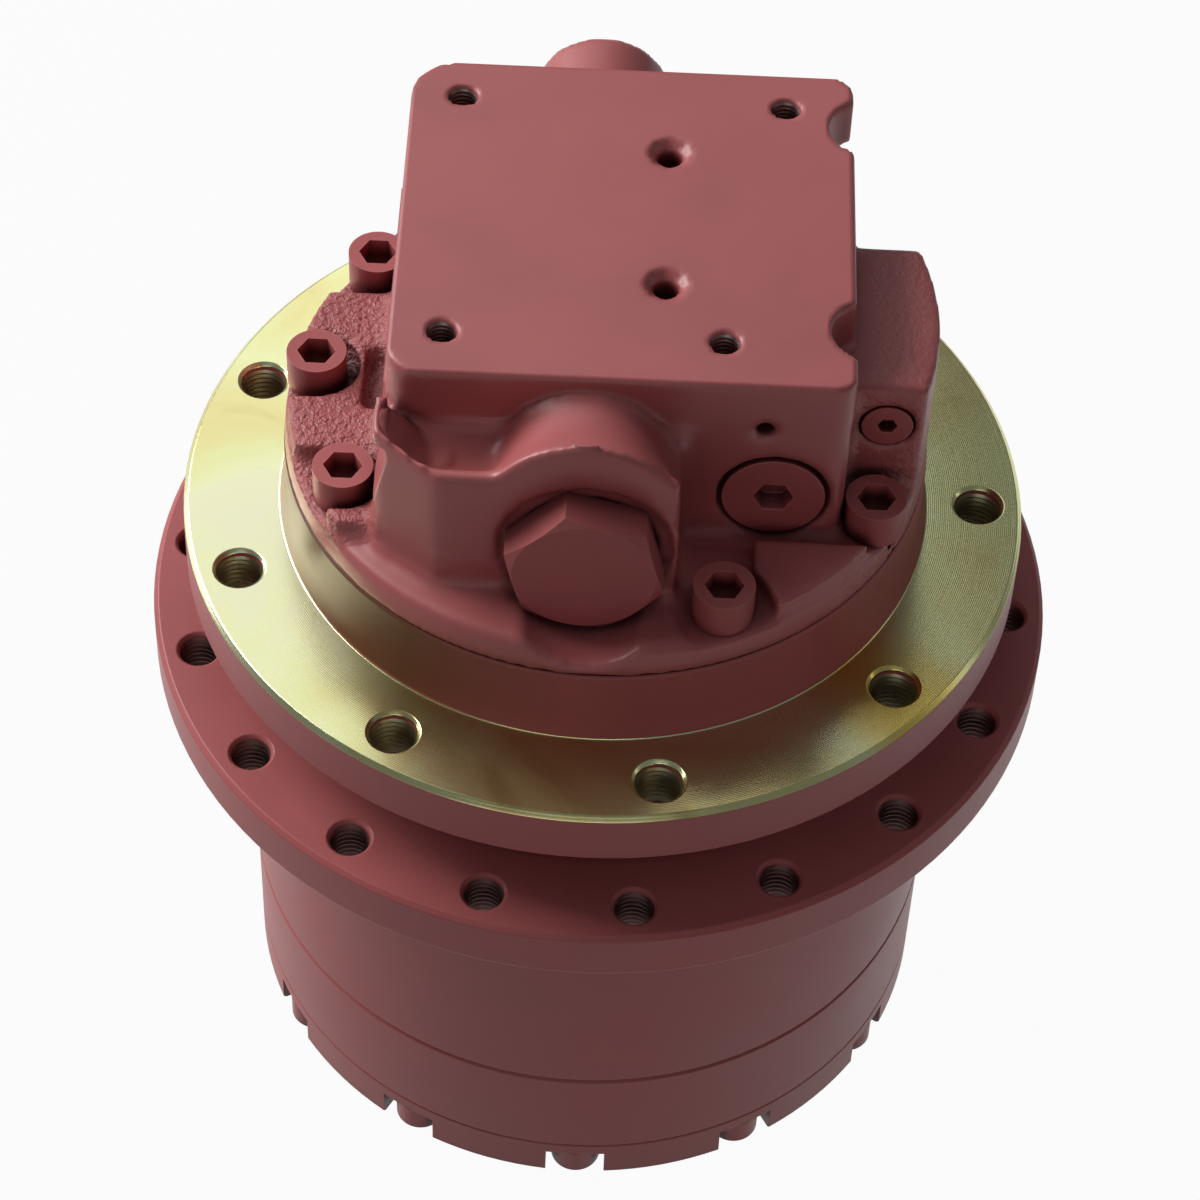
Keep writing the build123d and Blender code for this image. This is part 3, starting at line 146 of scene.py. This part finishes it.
def remap(tree, value, start, end, low=0.0, high=1.0):
    """A value held between start and end, and stretched to run from low to high."""
    made = add_node(tree, "MapRange")
    feed(tree, made.inputs["Value"], value)
    for label, number in (
        ("From Min", start), ("From Max", end), ("To Min", low), ("To Max", high),
    ):
        made.inputs[label].default_value = number
    return made.outputs["Result"]


def noise_node(tree, spot, **values):
    """A noise at the spot. The values are its Scale, Detail, Roughness or Distortion."""
    made = add_node(tree, "TexNoise")
    feed(tree, made.inputs["Vector"], spot)
    for label, value in values.items():
        feed(tree, made.inputs[label], value)
    return made.outputs["Fac"]


def bump_node(tree, height, strength, distance):
    made = add_node(tree, "Bump")
    feed(tree, made.inputs["Height"], height)
    made.inputs["Strength"].default_value = strength
    made.inputs["Distance"].default_value = distance
    return made


def mix_node(tree, factor, first, second, kind="RGBA"):
    made = add_node(tree, "Mix", data_type=kind)
    for label, value in (("Factor", factor), ("A", first), ("B", second)):
        feed(tree, made.inputs[label], value)
    return made.outputs["Result"]


def object_spot(tree):
    return add_node(tree, "TexCoord").outputs["Object"]


def axes_of(tree, vector):
    split = add_node(tree, "SeparateXYZ")
    feed(tree, split.inputs[0], vector)
    return split.outputs


def new_material(name):
    material = bpy.data.materials.new(name)
    material.use_nodes = True
    tree = material.node_tree
    return material, tree, tree.nodes["Principled BSDF"]


print("helpers ready")

# %% [markdown]
# Sprayed enamel is never one colour. Over a casting it is a little thinner and brighter on the
# edges, holds dust where it faces up, and lies in faint clouds. One group puts out that colour
# and a roughness, from a paint colour and the strength of each effect.

# %% Group: enamel colour
enamel_tree, given, result = new_group(
    "enamel colour",
    [("Paint", "Color", (0.31, 0.066, 0.066, 1)), ("Worn Edge", "Color", (0.42, 0.13, 0.12, 1)),
     ("Dust", "Color", (0.55, 0.42, 0.42, 1)), ("Edge Wear", "Float", 0.4),
     ("Dust Amount", "Float", 0.05), ("Edge Size", "Float", 1.2 * mm),
     # the crevice colour and size paint shade into hollows
     ("Painted Shade", "Color", (0.05, 0.009, 0.009, 1)), ("Painted Shade Reach", "Float", 8 * mm)],
    [("Color", "Color"), ("Roughness", "Float")],
)
spot = object_spot(enamel_tree)
clouds = noise_node(enamel_tree, spot, Scale=22.0, Detail=4.0)
specks = noise_node(enamel_tree, spot, Scale=420.0, Detail=3.0)

# the rounded normal leaves the flat one only beside an edge
true_normal = add_node(enamel_tree, "NewGeometry").outputs["Normal"]
rounded = add_node(enamel_tree, "Bevel", samples=6)
turned = add_node(enamel_tree, "VectorMath", operation="DOT_PRODUCT")
join(
    enamel_tree,
    (given.outputs["Edge Size"], rounded.inputs["Radius"]),
    (true_normal, turned.inputs[0]), (rounded.outputs["Normal"], turned.inputs[1]),
)
edge = remap(enamel_tree, turned.outputs["Value"], 0.985, 0.86)
wear = product(
    enamel_tree, given.outputs["Edge Wear"], math_node(enamel_tree, "ADD", specks, 0.25)
)
broken_edge = product(enamel_tree, edge, wear, clamp=True)

# the clouds shift the paint's brightness, and the dust lies on what faces up
cloudy = add_node(enamel_tree, "HueSaturation")
join(
    enamel_tree,
    (remap(enamel_tree, clouds, 0.3, 0.7, low=0.93, high=1.07), cloudy.inputs["Value"]),
    (given.outputs["Paint"], cloudy.inputs["Color"]),
)
upward = math_node(enamel_tree, "MAXIMUM", axes_of(enamel_tree, true_normal)["Z"], 0.0)
dusted = math_node(
    enamel_tree, "MULTIPLY",
    product(enamel_tree, upward, given.outputs["Dust Amount"]),
    math_node(enamel_tree, "ADD", clouds, 0.5),
    clamp=True,
)

# painted shade: ambient occlusion darkens the paint in sockets, holes, pockets and inner corners,
# where shade falls
openness = add_node(enamel_tree, "AmbientOcclusion", samples=6)
join(enamel_tree, (given.outputs["Painted Shade Reach"], openness.inputs["Distance"]))
painted_crevice_shade = remap(enamel_tree, openness.outputs["AO"], 0.72, 0.25)

shade = mix_node(enamel_tree, dusted, cloudy.outputs["Color"], given.outputs["Dust"])
shade = mix_node(enamel_tree, broken_edge, shade, given.outputs["Worn Edge"])
# the painted shade is mixed into the paint's colour here
shade = mix_node(enamel_tree, painted_crevice_shade, shade, given.outputs["Painted Shade"])
join(
    enamel_tree,
    (shade, result.inputs["Color"]),
    (remap(enamel_tree, clouds, 0.0, 1.0, low=0.32, high=0.5), result.inputs["Roughness"]),
)
print("group", enamel_tree.name)

# %% [markdown]
# The relief of a painted surface has two scales: the orange peel of the spray, a few millimetres
# across, and under it the sand grain of the casting. One group mixes both into a height.

# %% Group: casting relief
relief_tree, given, result = new_group(
    "casting relief",
    [("Peel", "Float", 0.25), ("Grain", "Float", 0.08), ("Grain Scale", "Float", 600.0)],
    [("Height", "Float")],
)
spot = object_spot(relief_tree)
grain_scale = given.outputs["Grain Scale"]
peel = noise_node(relief_tree, spot, Scale=260.0, Detail=1.0)
grain = noise_node(relief_tree, spot, Scale=grain_scale, Detail=5.0, Roughness=0.6)
pits = add_node(relief_tree, "TexVoronoi", feature="SMOOTH_F1")
pits.inputs["Smoothness"].default_value = 0.6
join(relief_tree, (spot, pits.inputs["Vector"]), (grain_scale, pits.inputs["Scale"]))
sandy = product(
    relief_tree, math_node(relief_tree, "ADD", grain, pits.outputs["Distance"]),
    given.outputs["Grain"],
)
peeled = product(relief_tree, peel, given.outputs["Peel"])
join(relief_tree, (math_node(relief_tree, "ADD", sandy, peeled), result.inputs["Height"]))
print("group", relief_tree.name)

# %% [markdown]
# A face that was turned on a lathe carries fine rings about its axis. They catch the light as
# bright wedges to the left and right, and their height is a wave along the radius.

# %% Group: turned rings
rings_tree, given, result = new_group(
    "turned rings",
    [("Pitch", "Float", 0.6 * mm)],
    [("Height", "Float"), ("Radius", "Float"), ("Bearing", "Float")],
)
place = axes_of(rings_tree, object_spot(rings_tree))
flat_spot = add_node(rings_tree, "CombineXYZ")
radius = add_node(rings_tree, "VectorMath", operation="LENGTH")
uneven = add_node(rings_tree, "TexNoise", noise_dimensions="1D")
uneven.inputs["Scale"].default_value = 900.0
join(
    rings_tree,
    (place["X"], flat_spot.inputs["X"]), (place["Y"], flat_spot.inputs["Y"]),
    (flat_spot.outputs[0], radius.inputs[0]), (radius.outputs["Value"], uneven.inputs["W"]),
)
turns = math_node(rings_tree, "DIVIDE", radius.outputs["Value"], given.outputs["Pitch"])
wave = math_node(rings_tree, "SINE", product(rings_tree, turns, 2 * pi))
ring_height = math_node(
    rings_tree, "ADD", product(rings_tree, wave, 0.5), uneven.outputs["Fac"]
)
join(
    rings_tree,
    (ring_height, result.inputs["Height"]),
    (radius.outputs["Value"], result.inputs["Radius"]),
    (math_node(rings_tree, "ARCTAN2", place["Y"], place["X"]), result.inputs["Bearing"]),
)
print("group", rings_tree.name)

# %% [markdown]
# The enamel itself: a dark oxide red with a soft gloss. The same recipe is used three times,
# smooth on machined and turned pieces, grainy on the casting, and thick on the screws.

# %% Materials: red enamel
plain_specular = 0.22
paint_depth = 0.6 * mm


def enamel(name, peel=0.25, grain=0.08, grain_scale=600.0, bump=0.1, edge_wear=0.4,
           specular=plain_specular):
    material, tree, surface = new_material(name)
    colour = use_group(tree, enamel_tree, Edge_Wear=edge_wear)
    relief = use_group(tree, relief_tree, Peel=peel, Grain=grain, Grain_Scale=grain_scale)
    raised = bump_node(tree, relief.outputs["Height"], bump, paint_depth)
    surface.inputs["Specular IOR Level"].default_value = specular
    join(
        tree,
        (colour.outputs["Color"], surface.inputs["Base Color"]),
        (colour.outputs["Roughness"], surface.inputs["Roughness"]),
        (raised.outputs["Normal"], surface.inputs["Normal"]),
    )
    return material, tree, raised


smooth_enamel = enamel("smooth_enamel")[0]
screw_enamel = enamel("screw_enamel", peel=0.5, grain=0.1, bump=0.18, edge_wear=0.7)[0]

# the casting is rough where nobody machined or ground it: the left ledge and the side lobe
cast_enamel, tree, raised = enamel("cast_enamel", grain_scale=430.0, bump=0.14, specular=0.4)
spot = object_spot(tree)
place = axes_of(tree, spot)
on_left = remap(tree, place["X"], -60 * mm, -65 * mm)
under_top = remap(tree, place["Z"], 260 * mm, 256 * mm)
over_foot = remap(tree, place["Z"], 244 * mm, 246 * mm)
behind_pad = remap(tree, place["Y"], -60 * mm, -54 * mm)
on_ledge = product(tree, on_left, under_top, over_foot, behind_pad)
on_lobe = product(tree, remap(tree, place["X"], 70 * mm, 72 * mm), 0.3)
rough = math_node(tree, "ADD", on_ledge, on_lobe)
sand = noise_node(tree, spot, Scale=520.0, Detail=3.0, Roughness=0.55)
sand_bump = bump_node(tree, product(tree, rough, sand), 1.0, 1.6 * mm)
join(tree, (sand_bump.outputs["Normal"], raised.inputs["Normal"]))
print("enamels made")

# %% [markdown]
# Yellow zinc plate is a bright metal under a thin film, so its tint drifts from pale lemon to
# olive and amber. The film's colour follows a slow noise, and a wedge of amber at one bearing is a
# painted highlight.

# %% Material: yellow zinc on the frame face
frame_face_z = mounts["frame_face"]["pos_m"][2]
case_foot_radius = 98.9 * mm


def angle_from(tree, bearing, middle):
    """How far a bearing lies from a middle one, which is given in degrees."""
    return math_node(tree, "ABSOLUTE", math_node(tree, "SUBTRACT", bearing, radians(middle)))


def zinc_colour(tree, spot, bearing):
    """The tint of the film with a painted amber highlight, and the slow noise that it follows."""
    drift = noise_node(tree, spot, Scale=14.0, Detail=5.0, Distortion=0.6)
    tints = add_node(tree, "ValToRGB")
    stops = tints.color_ramp.elements
    stops[0].position, stops[0].color = 0.3, (0.47, 0.38, 0.16, 1)
    stops[1].position, stops[1].color = 0.75, (0.72, 0.70, 0.54, 1)
    for position, film in (
        (0.38, (0.62, 0.56, 0.26, 1)), (0.48, (0.64, 0.65, 0.33, 1)), (0.58, (0.69, 0.70, 0.42, 1)),
    ):
        stops.new(position).color = film
    join(tree, (drift, tints.inputs["Fac"]))

    # painted highlight: an amber wedge at the front right, where the turned rings throw a yellow
    # highlight
    wavering = math_node(
        tree, "ADD", angle_from(tree, bearing, -42), product(tree, drift, radians(22))
    )
    wedge = remap(tree, wavering, radians(22), radians(10))
    amber_highlight = (0.66, 0.50, 0.13, 1)
    return mix_node(tree, wedge, tints.outputs["Color"], amber_highlight), drift


flange_finish, tree, surface = new_material("flange_enamel_and_zinc")
spot = object_spot(tree)
colour = use_group(tree, enamel_tree)
relief = use_group(tree, relief_tree)
rings = use_group(tree, rings_tree)
bearing = rings.outputs["Bearing"]
zinc, zinc_drift = zinc_colour(tree, spot, bearing)
level = axes_of(tree, spot)["Z"]
on_face = math_node(tree, "GREATER_THAN", level, frame_face_z - 1.45 * mm)
under_wall = math_node(tree, "LESS_THAN", level, frame_face_z + 0.3 * mm)
outside = math_node(tree, "GREATER_THAN", rings.outputs["Radius"], case_foot_radius)
bare = product(tree, on_face, under_wall, outside)

# painted shade and painted reflection: the left of the case's wall is mixed toward brown, for its
# shade and the gold flange mirrored in it
left_wall_shade = remap(tree, angle_from(tree, bearing, -150), radians(55), radians(25))
on_wall = product(tree, on_face, math_node(tree, "SUBTRACT", 1.0, outside))
shade_and_reflection_brown = (0.10, 0.032, 0.012, 1)
painted = mix_node(tree, product(tree, left_wall_shade, on_wall), colour.outputs["Color"], shade_and_reflection_brown)

zinc_gloss = remap(tree, zinc_drift, 0.0, 1.0, low=0.18, high=0.34)
gloss = mix_node(tree, bare, colour.outputs["Roughness"], zinc_gloss, "FLOAT")
peel_bump = bump_node(tree, relief.outputs["Height"], 0.12, paint_depth)
ring_bump = bump_node(tree, rings.outputs["Height"], 0.12, 0.06 * mm)
raised = mix_node(tree, bare, peel_bump.outputs["Normal"], ring_bump.outputs["Normal"], "VECTOR")

# the rings stretch the highlights along the radius
round_the_axis = add_node(tree, "VectorRotate", rotation_type="Z_AXIS")
round_the_axis.inputs["Angle"].default_value = pi / 2
surface.inputs["Specular IOR Level"].default_value = plain_specular
join(
    tree,
    (spot, round_the_axis.inputs["Vector"]),
    (round_the_axis.outputs[0], surface.inputs["Tangent"]),
    (product(tree, bare, 0.6), surface.inputs["Anisotropic"]),
    (mix_node(tree, bare, painted, zinc), surface.inputs["Base Color"]),
    (bare, surface.inputs["Metallic"]),
    (gloss, surface.inputs["Roughness"]),
    (raised, surface.inputs["Normal"]),
)
print("zinc above", round(frame_face_z, 4))

# %% [markdown]
# Inside the drive are steels, bronze and rubber. They are hidden at rest, but each node still
# gets a finish with a grain of its own, so that a section or an export shows real metal.

# %% Materials: metals and rubber inside
def inner_metal(name, base, roughness, metallic=1.0, scale=90.0, spread=0.12, bump=0.05):
    material, tree, surface = new_material(name)
    blotch = noise_node(tree, object_spot(tree), Scale=scale, Detail=4.0)
    tones = add_node(tree, "ValToRGB")
    for stop, share in zip(tones.color_ramp.elements, (1 - spread, 1 + spread)):
        stop.color = tuple(min(1.0, c * share) for c in base) + (1,)
    gloss = remap(tree, blotch, 0.0, 1.0, low=roughness * 0.8, high=roughness * 1.2)
    raised = bump_node(tree, blotch, bump, 0.3 * mm)
    surface.inputs["Metallic"].default_value = metallic
    join(
        tree,
        (blotch, tones.inputs["Fac"]),
        (tones.outputs["Color"], surface.inputs["Base Color"]),
        (gloss, surface.inputs["Roughness"]),
        (raised.outputs["Normal"], surface.inputs["Normal"]),
    )
    return material


slot_finish = {
    "steel": inner_metal("ground_steel", (0.55, 0.55, 0.57), 0.32),
    "gear_steel": inner_metal("oiled_gear_steel", (0.42, 0.41, 0.41), 0.28),
    "bearing_steel": inner_metal("polished_steel", (0.72, 0.72, 0.74), 0.14),
    "bronze": inner_metal("bronze", (0.62, 0.40, 0.20), 0.35),
    "iron": inner_metal("machined_iron", (0.30, 0.30, 0.31), 0.45, bump=0.15),
    "rubber": inner_metal("seal_rubber", (0.02, 0.02, 0.02), 0.55, metallic=0.0),
    "spring_steel": inner_metal("blued_steel", (0.16, 0.17, 0.21), 0.35),
}
thread_steel = inner_metal("tapped_thread", (0.34, 0.32, 0.20), 0.35, scale=300.0, spread=0.3)
plate_thread = inner_metal("tapped_thread_grey", (0.20, 0.19, 0.17), 0.4, scale=300.0, spread=0.3)
painted_thread = inner_metal("painted_thread", (0.17, 0.10, 0.09), 0.5, scale=300.0, spread=0.3)

node_slot = {part["node"]: part["material_slot"] for part in frame["record"]["subparts"]}
for name, node in frame["nodes"].items():
    finish = slot_finish.get(node_slot[name], smooth_enamel)
    node.data.materials.clear()
    node.data.materials.append(finish)
print("inner finishes", sorted(slot_finish))

# %% [markdown]
# A CAD node arrives as loose triangles with knife edges. The pieces in sight are dressed copies:
# the copy is merged, its flat faces joined up, its smooth sides shaded smooth, and every hard
# edge rounded by a bevel as deburring and paint leave it.

# %% Helper: a dressed copy of a CAD piece
def new_piece(name, mesh, body, material):
    piece = bpy.data.objects.new(name, mesh)
    bpy.context.scene.collection.objects.link(piece)
    mesh.materials.clear()
    mesh.materials.append(material)
    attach(piece, body)
    return piece


def merged_copy(node_name):
    mesh = frame["nodes"][node_name].data.copy()
    if "custom_normal" in mesh.attributes:
        mesh.attributes.remove(mesh.attributes["custom_normal"])
    bm = bmesh.new()
    bm.from_mesh(mesh)
    bmesh.ops.remove_doubles(bm, verts=bm.verts, dist=0.002 * mm)
    bmesh.ops.dissolve_limit(
        bm, angle_limit=radians(0.4), verts=bm.verts, edges=bm.edges, use_dissolve_boundaries=False
    )
    bm.to_mesh(mesh)
    bm.free()
    return mesh


def dressed_copy(node_name, piece_name, material, edge_width, segments=2):
    mesh = merged_copy(node_name)
    body = frame["nodes"][node_name]["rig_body"]
    piece = new_piece(piece_name, mesh, body, material)
    mesh.shade_smooth()
    mesh.set_sharp_from_angle(angle=radians(25))
    rounding = piece.modifiers.new("rounded edges", "BEVEL")
    rounding.width = edge_width
    rounding.segments = segments
    rounding.limit_method = "ANGLE"
    rounding.angle_limit = radians(28)
    rounding.harden_normals = True
    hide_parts(node_name)
    print(piece_name, len(mesh.polygons), "faces")


# %% [markdown]
# The frame flange, the sprocket hub, the ring gear's band and the end cover are turned, so their
# copies only need their edges rounded. The screws get a larger round for the thick paint.

# %% Turned shells and fasteners
dressed_copy("motor_case", "case_shell", flange_finish, 0.5 * mm)
dressed_copy("sprocket_hub", "hub_shell", smooth_enamel, 0.4 * mm)
dressed_copy("ring_gear", "ring_band", smooth_enamel, 0.2 * mm)
dressed_copy("end_cover", "foot_cover", smooth_enamel, 0.3 * mm)
dressed_copy("cover_bolts", "foot_screws", screw_enamel, 0.6 * mm)
dressed_copy("housing_screws", "casting_screws", screw_enamel, 0.7 * mm)
dressed_copy("spool_plug", "hexagon_plug", smooth_enamel, 0.8 * mm, segments=3)
dressed_copy("selector_plug", "round_plug", screw_enamel, 0.4 * mm)
dressed_copy("side_plug", "small_plug", screw_enamel, 0.4 * mm)

# %% [markdown]
# The valve housing is a sand casting: every inner corner is a wide fillet, and only the machined
# faces are crisp. A voxel remesh of the CAD solid gives an even skin. That skin is smoothed hard.
# Where the smoothed place lies outside the old one it is kept whole, which fills the inner
# corners, and elsewhere only in small part, which leaves the outer ones. Machined faces and bores
# are held where the CAD has them.

# %% Even skin over the valve housing
voxel = 1.35 * mm
light_rounds, heavy_rounds = 3, 60


def evaluated_mesh(piece):
    graph = bpy.context.evaluated_depsgraph_get()
    return bpy.data.meshes.new_from_object(piece.evaluated_get(graph))


housing = new_piece(
    "housing_casting", merged_copy("valve_housing"), "case", cast_enamel
)
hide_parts("valve_housing")
skin = housing.modifiers.new("skin", "REMESH")
skin.mode = "VOXEL"
skin.voxel_size = voxel
skin_mesh = evaluated_mesh(housing)
housing.modifiers.clear()
housing.data = skin_mesh
print("skin", len(skin_mesh.vertices), "points")

# %% Light and heavy smoothing of the skin
def point_values(mesh, kind):
    """The place or the normal of each point, as rows of three."""
    values = np.empty(len(mesh.vertices) * 3, np.float32)
    mesh.vertices.foreach_get(kind, values)
    return values.reshape(-1, 3).astype(float)


def smoothed_places(piece, rounds):
    soften = piece.modifiers.new("soften", "SMOOTH")
    soften.factor = 0.5
    soften.iterations = rounds
    softened = evaluated_mesh(piece)
    places = point_values(softened, "co")
    piece.modifiers.clear()
    bpy.data.meshes.remove(softened)
    return places


raw = point_values(skin_mesh, "co")
outward = point_values(skin_mesh, "normal")
light = smoothed_places(housing, light_rounds)
heavy = smoothed_places(housing, heavy_rounds)
shift = ((heavy - light) * outward).sum(axis=1)
print("points that move out", int((shift > 0).sum()))

# %% Which points move, and how far
x, y, z = raw.T
plate_top = mounts["plate_face"]["pos_m"][2]
plate_under = plate_top - 17 * mm
plate_front = -47.8 * mm
rim_low, rim_right = 262 * mm, 40 * mm
machined_foot, machined_middle = 238.5 * mm, 30 * mm
rim_share, edge_share = 0.5, 0.12

soft_rim = (z > rim_low) & (y < plate_front) & (x < rim_right)
fill = np.where(shift > 0, 1.0, np.where(soft_rim, rim_share, edge_share))[:, None]

# place and reach of each round edge in the front faces, and the Y where holding it ends, in mm
front_rounds = [
    (49.1, 261.7, 18.0, -41), (45.1, 289.4, 5.0, -36), (81.4, 273.5, 9.5, -14),
    (-4.5, 265.5, 27.5, -70.5),
]
held = (z > plate_under - 0.5 * mm) & (y > plate_front)
held |= z < machined_foot
held |= np.hypot(x, y) < machined_middle
for round_x, round_z, reach, y_end in front_rounds:
    near = np.hypot(x - round_x * mm, z - round_z * mm) < reach * mm
    held |= near & (y < y_end * mm)
print("held", int(held.sum()), "of", len(held))

# %% Put the casting's skin in place
keep = np.where(held, 0.0, 1.0)[:, None]
cast_places = light + keep * fill * (heavy - light)
top_face = np.abs(z - plate_top) < voxel / 2
cast_places[top_face, 2] = plate_top

# the left wall has a draft that takes its top in under the plate
draft_low, draft_high = 264 * mm, 288 * mm
left_wall = (x < -58 * mm) & (z > draft_low) & (z < plate_under + 0.5 * mm)
draft = np.interp(cast_places[:, 2], (draft_low, draft_high), (-66.5 * mm, -61.5 * mm))
cast_places[left_wall, 0] = np.maximum(cast_places[left_wall, 0], draft[left_wall])

# the valley's left end runs up to the rim as a ramp
end_x, end_y, end_reach = -54 * mm, -54 * mm, 11.2 * mm
ramp_foot_x, ramp_foot_z, ramp_slope = -50 * mm, 284 * mm, 0.9
at_ramp = (np.hypot(x - end_x, y - end_y) < end_reach) & (y < plate_front) & (z > 280 * mm)
ramp = ramp_foot_z + ramp_slope * np.maximum(0, ramp_foot_x - x)
cast_places[at_ramp, 2] = np.maximum(cast_places[at_ramp, 2], ramp[at_ramp])

skin_mesh.vertices.foreach_set("co", cast_places.astype(np.float32).ravel())
skin_mesh.update()
skin_mesh.shade_smooth()
print("casting triangles", 2 * len(skin_mesh.polygons))

# %% [markdown]
# Tapped holes show their threads. One ridge of triangular section is spun along a helix inside
# each hole, from the bottom to just under the mouth.

# %% Threads in the bolt holes
def thread(bm, centre, bore, low, high, pitch, depth, steps=40):
    """One helical ridge on the wall of a hole along Z."""
    turns = (high - low) / pitch - 1
    wall = bore + 0.05 * mm
    corners = [
        bm.verts.new((centre[0] + r, centre[1], z))
        for r, z in ((wall, low), (bore - depth, low + pitch / 2), (wall, low + pitch))
    ]
    section = bm.faces.new(corners)
    total_steps = int(turns * steps)
    bmesh.ops.spin(
        bm, geom=[section], cent=centre, axis=(0, 0, 1), angle=turns * 2 * pi,
        dvec=(0, 0, turns * pitch / total_steps), steps=total_steps,
    )


def threaded_piece(name, places, bore, low, high, pitch, depth, body, material):
    bm = bmesh.new()
    for place in places:
        thread(bm, (place[0], place[1], 0), bore, low, high, pitch, depth)
    bmesh.ops.recalc_face_normals(bm, faces=bm.faces)
    mesh = bpy.data.meshes.new(name)
    bm.to_mesh(mesh)
    bm.free()
    new_piece(name, mesh, body, material)
    mesh.shade_smooth()
    mesh.set_sharp_from_angle(angle=radians(35))
    print(name, len(mesh.polygons), "faces")


def on_circle(mount, first_bearing):
    radius = mount["dims"]["pcd_mm"] * mm / 2
    count = mount["dims"]["count"]
    return [
        (radius * cos(radians(first_bearing + 360 * k / count)),
         radius * sin(radians(first_bearing + 360 * k / count)))
        for k in range(count)
    ]


def bore_of(mount):
    return mount["dims"]["hole_r_mm"] * mm


frame_mount, sprocket_mount = mounts["frame_bolts"], mounts["sprocket_bolts"]
frame_first_bearing, sprocket_first_bearing = -80.2, -83.6
sprocket_face_z = sprocket_mount["pos_m"][2] + 1.0 * mm
threaded_piece(
    "frame_threads", on_circle(frame_mount, frame_first_bearing), bore_of(frame_mount),
    frame_face_z - 19 * mm, frame_face_z - 1.2 * mm, 2 * mm, 0.5 * mm, "case", thread_steel,
)
threaded_piece(
    "sprocket_threads", on_circle(sprocket_mount, sprocket_first_bearing),
    bore_of(sprocket_mount), sprocket_face_z - 18 * mm, sprocket_face_z - 1.2 * mm,
    2 * mm, 0.45 * mm, "drum", painted_thread,
)
plate_taps = []
for tap_mount in (mounts["plate_rear_taps"], mounts["plate_front_taps"]):
    centre, half = tap_mount["pos_m"], tap_mount["dims"]["spacing_x_mm"] * mm / 2
    plate_taps += [(centre[0] - half, centre[1]), (centre[0] + half, centre[1])]
threaded_piece(
    "plate_threads", plate_taps, bore_of(mounts["plate_rear_taps"]),
    plate_top - 21 * mm, plate_top - 0.6 * mm, 1.5 * mm, 0.4 * mm, "case", plate_thread,
)

# %% [markdown]
# The stage is a plain pale floor. Seen directly or in a reflection it is white, and its diffuse
# side still takes the object's shadow.

# %% Floor
floor_size, floor_drop = 6.0, 0.2 * mm
white_share = 0.96

floor_finish, tree, surface = new_material("white_floor")
surface.inputs["Base Color"].default_value = (0.12, 0.12, 0.12, 1)
surface.inputs["Roughness"].default_value = 0.9
glow = add_node(tree, "Emission")
glow.inputs["Strength"].default_value = 1.0
ray = add_node(tree, "LightPath").outputs
seen = math_node(tree, "MAXIMUM", ray["Is Camera Ray"], ray["Is Glossy Ray"])
seen = math_node(tree, "MAXIMUM", seen, ray["Is Transmission Ray"])
blend = add_node(tree, "MixShader")
join(
    tree,
    (product(tree, seen, white_share), blend.inputs["Fac"]),
    (surface.outputs["BSDF"], blend.inputs[1]), (glow.outputs["Emission"], blend.inputs[2]),
    (blend.outputs["Shader"], tree.nodes["Material Output"].inputs["Surface"]),
)

bm = bmesh.new()
bmesh.ops.create_grid(bm, x_segments=4, y_segments=4, size=floor_size)
bmesh.ops.translate(bm, verts=bm.verts, vec=(0, 0, -floor_drop))
floor_mesh = bpy.data.meshes.new("floor")
bm.to_mesh(floor_mesh)
bm.free()
floor = bpy.data.objects.new("floor", floor_mesh)
bpy.context.scene.collection.objects.link(floor)
floor_mesh.materials.append(floor_finish)
print("floor", 2 * floor_size, "m wide")

# %% [markdown]
# The light is a soft studio: a pale sky all round, a large window to the left, a weaker panel
# behind that shines in the faces that look up, a narrow one to the right for the bright line
# down the front corner, and a wide one far in front that fills the shade.

# %% Lamps and sky
light_aim = Vector((0, 0, 0.2))
for name, lamp_place, size, power in (
    ("left_lamp", (-1.5, 0.75, 1.3), (1.2, 1.2), 55),
    ("right_lamp", (1.6, 0.1, 1.0), (0.3, 1.0), 1),
    ("back_lamp", (-0.45, 1.15, 1.55), (1.2, 1.0), 5),
    ("front_lamp", (-0.3, -2.0, 0.9), (1.6, 0.8), 5),
):
    lamp = bpy.data.lights.new(name, "AREA")
    lamp.shape = "RECTANGLE"
    lamp.size, lamp.size_y = size
    lamp.energy = power
    holder = bpy.data.objects.new(name, lamp)
    bpy.context.scene.collection.objects.link(holder)
    holder.location = lamp_place
    holder.rotation_euler = (light_aim - Vector(lamp_place)).to_track_quat("-Z", "Y").to_euler()
    print(name, power, "W")

world = bpy.data.worlds.new("studio")
bpy.context.scene.world = world
world.use_nodes = True
sky = world.node_tree.nodes["Background"]
sky.inputs["Color"].default_value = (0.9, 0.95, 1.0, 1)
sky.inputs["Strength"].default_value = 0.2
bpy.context.scene.view_settings.view_transform = "Standard"
